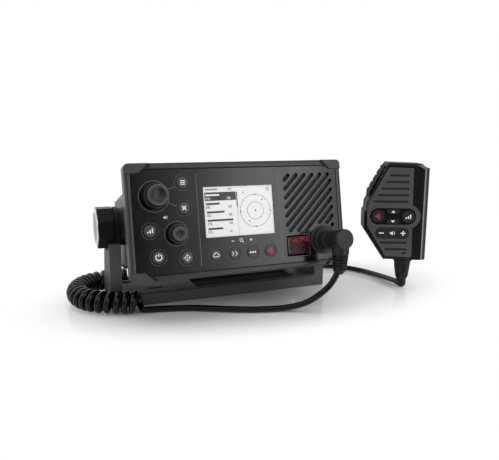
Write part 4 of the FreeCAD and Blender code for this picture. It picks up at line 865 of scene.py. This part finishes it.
LEFT_DIVIDER, RIGHT_DIVIDER, DIVIDER_W, DIVIDER_ENDS = -41.7, 36.5, 0.7, (-40.2, 40.1)
POINTER_LINES = (((-66.9, 27.5), (-60.7, 29.9)), ((-67.0, 16.2), (-61.0, 13.2)), ((-68.9, 1.6), (-67.9, 0.0)))
PANEL_MARKS = {"zoom_minus": ((-11.4, -20.7), "minus"), "zoom_plus": ((6.1, -20.5), "plus"),
               "zoom_lens": ((-2.9, -20.7), "lens"), "volume": ((-70.9, 3.9), "volume")}


def divide(form, u):
    return form.stroke([(u, v) for v in DIVIDER_ENDS], DIVIDER_W, 0.0, 0.12)


def make_panel_marks():
    divide(Form(PANEL), RIGHT_DIVIDER).piece("panel_divider", "panel", "radio", "crest")
    lines = divide(Form(PANEL), LEFT_DIVIDER)
    for ends in POINTER_LINES:
        lines.stroke(ends, 0.6, 0.0, 0.1)
    lines.stroke(round_box(DISTRESS, 1.5, 0.5), 0.55, 0.0, 0.14, True)
    lines.piece("panel_lines", "panel", "radio", "ink_line")
    for name, (at, mark) in PANEL_MARKS.items():
        print_mark("panel_mark_" + name, PANEL, at, 0.0, mark, "panel", "radio")


# ---- The display ----
SEGMENTS = {"a": ((0, 2), (1, 2)), "b": ((1, 2), (1, 1)), "c": ((1, 1), (1, 0)), "d": ((1, 0), (0, 0)),
            "e": ((0, 0), (0, 1)), "f": ((0, 1), (0, 2)), "g": ((0, 1), (1, 1))}
DIGITS = ("abcdef", "bc", "abged", "abgcd", "fgbc", "afgcd", "afgedc", "abc", "abcdefg", "abcdfg")
SCREEN_ROWS = ((-33.7, -20.9, "090"), (-33.3, -17.0, "262"), (-33.1, -9.2, "270"), (-32.9, -19.2, "075"))
ROW_V, ROW_PITCH = 13.4, 7.35
SCREEN_FACE, INK_FACE = -1.05, -1.0  # below the panel's face
PRINTED = (SCREEN_FACE, INK_FACE)
RAISED = (INK_FACE, INK_FACE + 0.04)  # white on the picked row's dark field
COMPASS, COMPASS_RADII = (12.9, 5.6), (14.7, 7.9)
CONTACTS = ((7.1, 9.8), (-6.4, -9.2), (-11.0, 16.8))  # small dots, from the compass's centre
MENU_AT, MENU_LINES = (24.2, 22.6), ((1.0, 3.8), (2.2, 3.0), (3.4, 4.2))


def write_number(form, text, u, v, height, levels):
    """Plain seven-stroke digits."""
    width = height * 0.42
    for index, digit in enumerate(text):
        left = u + index * width * 1.7
        for segment in DIGITS[int(digit)]:
            line = [(left + x * width, v + y * height / 2) for x, y in SEGMENTS[segment]]
            form.stroke(line, height * 0.16, *levels)


def draw_list(dark, grey, light):
    """The left side: a heading, the picked row, the other rows and the bar that scrolls them."""
    grey.stroke([(-33.8, 26.1), (-22.5, 26.1)], 1.2, *PRINTED)
    write_number(dark, "016", -12.6, 25.2, 1.7, PRINTED)
    dark.area([(-34.6, 16.1), (-5.3, 16.1), (-5.3, 23.6), (-34.6, 23.6)], *PRINTED)
    light.stroke([(-33.8, 21.2), (-21.0, 21.2)], 1.6, *RAISED)
    write_number(light, "045", -33.6, 17.0, 2.0, RAISED)
    write_number(light, "138", -14.6, 17.0, 2.0, RAISED)
    for index, (left, right, bearing) in enumerate(SCREEN_ROWS):
        v = ROW_V - index * ROW_PITCH
        dark.stroke([(left, v), (right, v)], 1.7, *PRINTED)
        write_number(dark, bearing, left, v - 3.9, 1.9, PRINTED)
        write_number(dark, "%03d" % (120 + 9 * index), -13.6, v - 3.9, 1.9, PRINTED)
    dark.stroke([(-4.4, 23.4), (-4.4, 9.4)], 1.0, *PRINTED)
    grey.stroke([(-4.4, 9.2), (-4.4, -15.6)], 0.35, *PRINTED)


def draw_compass(dark, grey):
    """The right side: two circles with their pointers and a few dots, and a small menu sign."""
    x, y = COMPASS
    for radius in COMPASS_RADII:
        grey.stroke(arc(x, y, radius, steps=72), 0.5, *PRINTED, True)
    dark.area(arc(x, y, 0.8, steps=14), *PRINTED)
    for turn in range(4):
        tip = turned(90 * turn, "Z")
        corners = [tip @ Vector((a, b, 0)) for a, b in ((-0.9, 14.0), (0.9, 14.0), (0, 15.6))]
        dark.area([(x + corner.x, y + corner.y) for corner in corners], *PRINTED)
    for du, dv in CONTACTS:
        dark.area(arc(x + du, y + dv, 0.65, steps=12), *PRINTED)
    u, v = MENU_AT
    for up, width in MENU_LINES:
        grey.stroke([(u, v + up), (u + width, v + up)], 0.7, *PRINTED)


def make_display():
    """The pane, the pale screen under it, and what the screen shows."""
    u0, u1, v0, v1 = LCD
    pane = Form(PANEL).area([(u0, v0), (u1, v0), (u1, v1), (u0, v1)], -0.7, -0.1)
    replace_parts(pane.piece("lcd_pane", "window", "radio"), "lcd_window")
    screen = Form(PANEL).area(round_box(LCD, 0.4, -0.1), -1.1, SCREEN_FACE)
    screen.piece("screen", "display", "radio", "screen_white")
    dark, grey, light = Form(PANEL), Form(PANEL), Form(PANEL)
    draw_list(dark, grey, light)
    draw_compass(dark, grey)
    dark.piece("screen_dark_marks", "display", "radio", "screen_dark")
    grey.piece("screen_grey_marks", "display", "radio", "screen_grey")
    light.piece("screen_light_marks", "display", "radio", "screen_white")


# ---- Distress key, grille and frame ----
FIELD_LOW, FIELD_HIGH, HIGHLIGHT_HIGH = 1.2, 1.26, 1.3  # heights of the cover's red field and of the painted highlight on it


def make_distress():
    """The smoky cover, its red field, and a painted highlight: the brighter top and edges of that field."""
    softened("distress_cover", 0.25, "cover_smoke")
    u0, u1, v0, v1 = DISTRESS
    body = body_of("distress_cover")
    field = Form(PANEL).area(round_box((u0 + 1.5, u1 - 1.5, v0 + 1.8, v1 - 1.9), 0.6), FIELD_LOW, FIELD_HIGH)
    field.piece("distress_cover_field", "cover", body)
    # painted highlight: a brighter band along the field's top, and thin lines along its lower and right edges
    glow = Form(PANEL).area(round_box((u0 + 1.8, u1 - 1.8, v1 - 6.4, v1 - 2.3), 0.4), FIELD_HIGH, HIGHLIGHT_HIGH)
    glow.stroke([(u0 + 2.4, v0 + 2.3), (u1 - 2.4, v0 + 2.3)], 0.3, FIELD_HIGH, HIGHLIGHT_HIGH)
    glow.stroke([(u1 - 2.0, v0 + 2.8), (u1 - 2.0, v1 - 6.5)], 0.25, FIELD_HIGH, HIGHLIGHT_HIGH)
    glow.piece("distress_cover_painted_highlight", "cover", body, "glow")


CLOTH_OVER, CLOTH_R = 3, 2.0  # the cloth's reach past the slots, and its corner radius


def make_grille_cloth():
    """Woven cloth between the slotted panel and the loudspeaker."""
    cloth = Form(PANEL).area(round_box(GRILLE, CLOTH_R, CLOTH_OVER), -PANEL_T - 0.6, -PANEL_T - 0.1)
    cloth.piece("speaker_cloth", "cone", "radio", "cloth")


RAIL_INNER, RAIL_OUTER = 45.5, 50.3  # the rounded fronts of the top and bottom rails, from the centre
RAIL_END = 129.4  # their slanted ends lie where across + up comes to this
RAIL_RISE, RAIL_DROP = 0.6, 0.9  # from the frame's face to the front's inner and outer edges
RAIL_STEPS = 10
GAP_W, CAP_GAP = 0.8, 1.4  # painted shade in the joints: its width, and how far onto the caps it lies
CAP_INNER, CAP_FACE = 43.4, 0.88  # inner edge of the caps, and how high the painted shade in the joints beside them rises


def rail_height(share):
    return (RAIL_RISE + RAIL_DROP) * math.sqrt(1 - share ** 2.2) - RAIL_DROP


def make_rail_fronts():
    """The rounded fronts of the frame's top and bottom rails, between the corner caps."""
    fronts = Form(PANEL)
    shares = [math.sin(math.pi / 2 * step / RAIL_STEPS) for step in range(RAIL_STEPS + 1)]
    section = [(RAIL_INNER + (RAIL_OUTER - RAIL_INNER) * share, rail_height(share)) for share in shares]
    section += [(RAIL_OUTER, -RAIL_DROP - 0.3), (RAIL_INNER, -0.4)]
    for side in (-1, 1):
        fronts.tube([[fronts.vert(end * (RAIL_END - v), side * v, FRAME_RISE + rise) for v, rise in section]
                     for end in (-1, 1)])
    fronts.piece("rail_fronts", "frame", "radio", "rail")


def make_rail_gap_shade():
    """Painted shade: dark strokes in the joints under the rails' fronts and beside the corner caps."""
    gap_shade = Form(PANEL)
    reach = RAIL_END - RAIL_INNER
    for side in (-1, 1):
        joint = side * (RAIL_INNER - 0.35)
        gap_shade.stroke([(-reach, joint), (reach, joint)], GAP_W, FRAME_RISE, FRAME_RISE + 0.06)
        for end in (-1, 1):
            slant = [(end * (RAIL_END + CAP_GAP - v), side * v) for v in (CAP_INNER, RAIL_OUTER - 0.9)]
            gap_shade.stroke(slant, GAP_W, FRAME_RISE + 0.6, FRAME_RISE + CAP_FACE)
    gap_shade.piece("rail_gap_shade", "frame", "radio", "dimple")


# ---- Bracket and plug ----
LIP_FRONT, LIP_SHADE_W = -19.1, 0.9  # the bracket's front, and the painted shade line along its lip
LIP_SHADE_LINE = [(-101.0, 11.2), (101.2, 11.2), (101.2, 19.5)]
BOOT_AT, CORE_R, CORE_LOW, CORE_HIGH = (80.4, -105.3), 5.15, 43.5, 54.6
# a near-black sheet on the tray's floor, its outline and heights: painted shade under the radio
TRAY_SHADE, SHADE_LOW, SHADE_HIGH = (-25.6, 84.1, -13.2, 28.2), 6.0, 6.6
BADGE_RING = [(14.2, -0.5), (18.3, -0.85), (18.2, -0.5), (14.6, 0.45), (14.3, 0.4)]
BADGE_DISC = [(0, -0.4), (13.8, -0.4), (13.8, 0.15), (12.9, 0.45), (0, 0.8)]


def make_painted_shade():
    """Painted shade: a dark line along the bracket's front lip, a near-black sheet in its tray, and a dark
    core in the plug's boot.
    """
    # painted shade: a dark stroke where the gap along the lip lies in shade
    lip_shade = Form(front_of(LEVEL, LIP_FRONT)).stroke(LIP_SHADE_LINE, LIP_SHADE_W, -0.4, 0.03)
    lip_shade.piece("bracket_lip_painted_shade", "bracket", "root", "dimple")
    # painted shade under the radio
    mat = Form(LEVEL).area(round_box(TRAY_SHADE, 1.5), SHADE_LOW, SHADE_HIGH)
    mat.piece("tray_painted_shade", "bracket", "root", "mat")
    # painted shade: a near-black core inside the boot, so that the notches between its ribs show dark
    profile = [(0, CORE_LOW), (CORE_R, CORE_LOW), (CORE_R, CORE_HIGH), (0, CORE_HIGH)]
    Form(LEVEL).lathe(*BOOT_AT, profile, 48).piece("plug_boot_core", "rubber", "radio", "dimple")


def make_badges():
    """A satin ring and a darker disc on the outer end of each gimbal knob."""
    for side, name in ((-1, "left"), (1, "right")):
        place = Matrix.Translation((side * KNOB_END * MM, 0, PIVOT_Z * MM)) @ turned(90 * side, "Y")
        body = body_of("gimbal_knob_" + name)
        Form(place).ring(0, 0, BADGE_RING).piece("gimbal_badge_ring_" + name, "gimbal", body, "badge_ring")
        Form(place).lathe(0, 0, BADGE_DISC).piece("gimbal_badge_disc_" + name, "gimbal", body, "badge")


# ---- Fist microphone ----
PLATE_FACE = 0.4  # front faces less than this behind the plate belong to it, mm
KEY_WELL = (52.8, 93.0)  # up the microphone, where the sunk faces belong to the keys' black well
COLUMN_X = 6.2  # the column begins here
BULGE_R = 12.3  # the plate reaches into it this far round the power level key
FACING = 0.75  # a front face has more than this of its normal forwards
ROUND_AT, ROUND_R = (14.09, -8.76), 8.02  # axis and radius of the column's rounded side
ROUND_ARC, ROUND_STEPS = (6.9, 87.1), 24
COLUMN_LOW, COLUMN_HIGH = 33.3, 127.2
PLATE, COLUMN, SLOT = 1, 2, 3  # materials of the front half, after its own


def dress_handset():
    """Light plate with grey slots, glossy column, black flanks and key well."""
    mesh = bpy.data.objects["handset_front_soft"].data
    for finish in ("hand_plate", "hand_column", "hand_slot"):
        mesh.materials.append(MATERIALS[finish])
    to_hand = HAND_FACE.inverted()
    for face in mesh.polygons:
        place = to_hand @ face.center / MM
        facing = (to_hand.to_3x3() @ face.normal).z
        bulge = math.dist((place.x, place.y), HAND_KEYS["handset_key_power_level"]) < BULGE_R
        if place.x > COLUMN_X and not (bulge and place.z > -PLATE_FACE):
            face.material_index = COLUMN
        elif place.z > -PLATE_FACE and facing > FACING:
            face.material_index = PLATE
        elif facing > FACING and not KEY_WELL[0] < place.y < KEY_WELL[1]:
            face.material_index = SLOT


def make_hand_round():
    """The evenly rounded, glossy side of the microphone's column."""
    x, height = ROUND_AT
    section = [(x + across, height + out) for across, out in arc(0, 0, ROUND_R, *ROUND_ARC, ROUND_STEPS)]
    section += [(x, height - 1.0), (x + ROUND_R - 1.0, height - 1.0)]
    form = Form(HAND_FACE)
    form.tube([[form.vert(across, up, out) for across, out in section] for up in (COLUMN_LOW, COLUMN_HIGH)])
    form.piece("handset_round", "handset", body_of("handset_front"), "hand_column")


def make_hand_marks():
    """Signs on the four keys, and on both ends and the middle of the rocker."""
    for places, height in ((HAND_KEYS, 0.0), (ARROW_KEYS, -0.3)):
        for node, at in places.items():
            mark = node.removeprefix("handset_key_")
            print_mark("hand_mark_" + mark.removeprefix("power_"), HAND_FACE, at, height, mark, "handset",
                       body_of(node), 1.05)
    x, y = ROCKER_AT
    for mark, side, scale in (("minus", -1, 1.9), ("plus", 1, 1.9), ("volume", 0, 1.4)):
        print_mark("hand_mark_" + mark, HAND_FACE, (x + side * ROCKER_REACH, y), 0.4, mark, "handset",
                   body_of("handset_rocker"), scale)


# ---- The whole ----
# How far the edges of these CAD pieces are rounded, mm, and the finish of those that differ from their slot.
SOFT_NODES = {
    "front_bezel": 0.5, "corner_caps": 0.35, "side_rails": 0.18, "front_panel": 0.18, "bracket": 0.7,
    "rear_case": 0.5, "gimbal_knob_left": 0.5, "gimbal_knob_right": 0.5, "plug_body": 0.35,
    "plug_ring": 0.15, "mic_socket": 0.2, "plug_boot": 0.2, "handset_front": 0.3, "handset_rear": 0.6,
    "handset_boot": 0.3, "push_to_talk": 0.35, "handset_rocker": 0.5, **dict.fromkeys(HAND_KEYS, 0.3),
    **dict.fromkeys(ARROW_KEYS, 0.4), "antenna_socket": 0.2, "rear_glands": 0.3, "handset_hang_stud": 0.4}
SOFT_FINISH = {"corner_caps": "cap", "push_to_talk": "talk_bar",
               **dict.fromkeys((*HAND_KEYS, *ARROW_KEYS, "handset_rocker"), "hand_key")}


def main():
    bpy.context.scene.view_settings.view_transform = "Standard"
    make_camera()
    make_world()
    for name, settings in LAMPS.items():
        softbox(name, *settings)
    make_floor()
    dress_nodes()
    make_cords()
    for node, width in SOFT_NODES.items():
        softened(node, width, SOFT_FINISH.get(node))
    for make in (make_keys, make_knobs, make_panel_marks, make_display, make_distress, make_grille_cloth,
                 make_rail_fronts, make_rail_gap_shade, make_painted_shade, make_badges, dress_handset,
                 make_hand_round, make_hand_marks):
        make()


main()
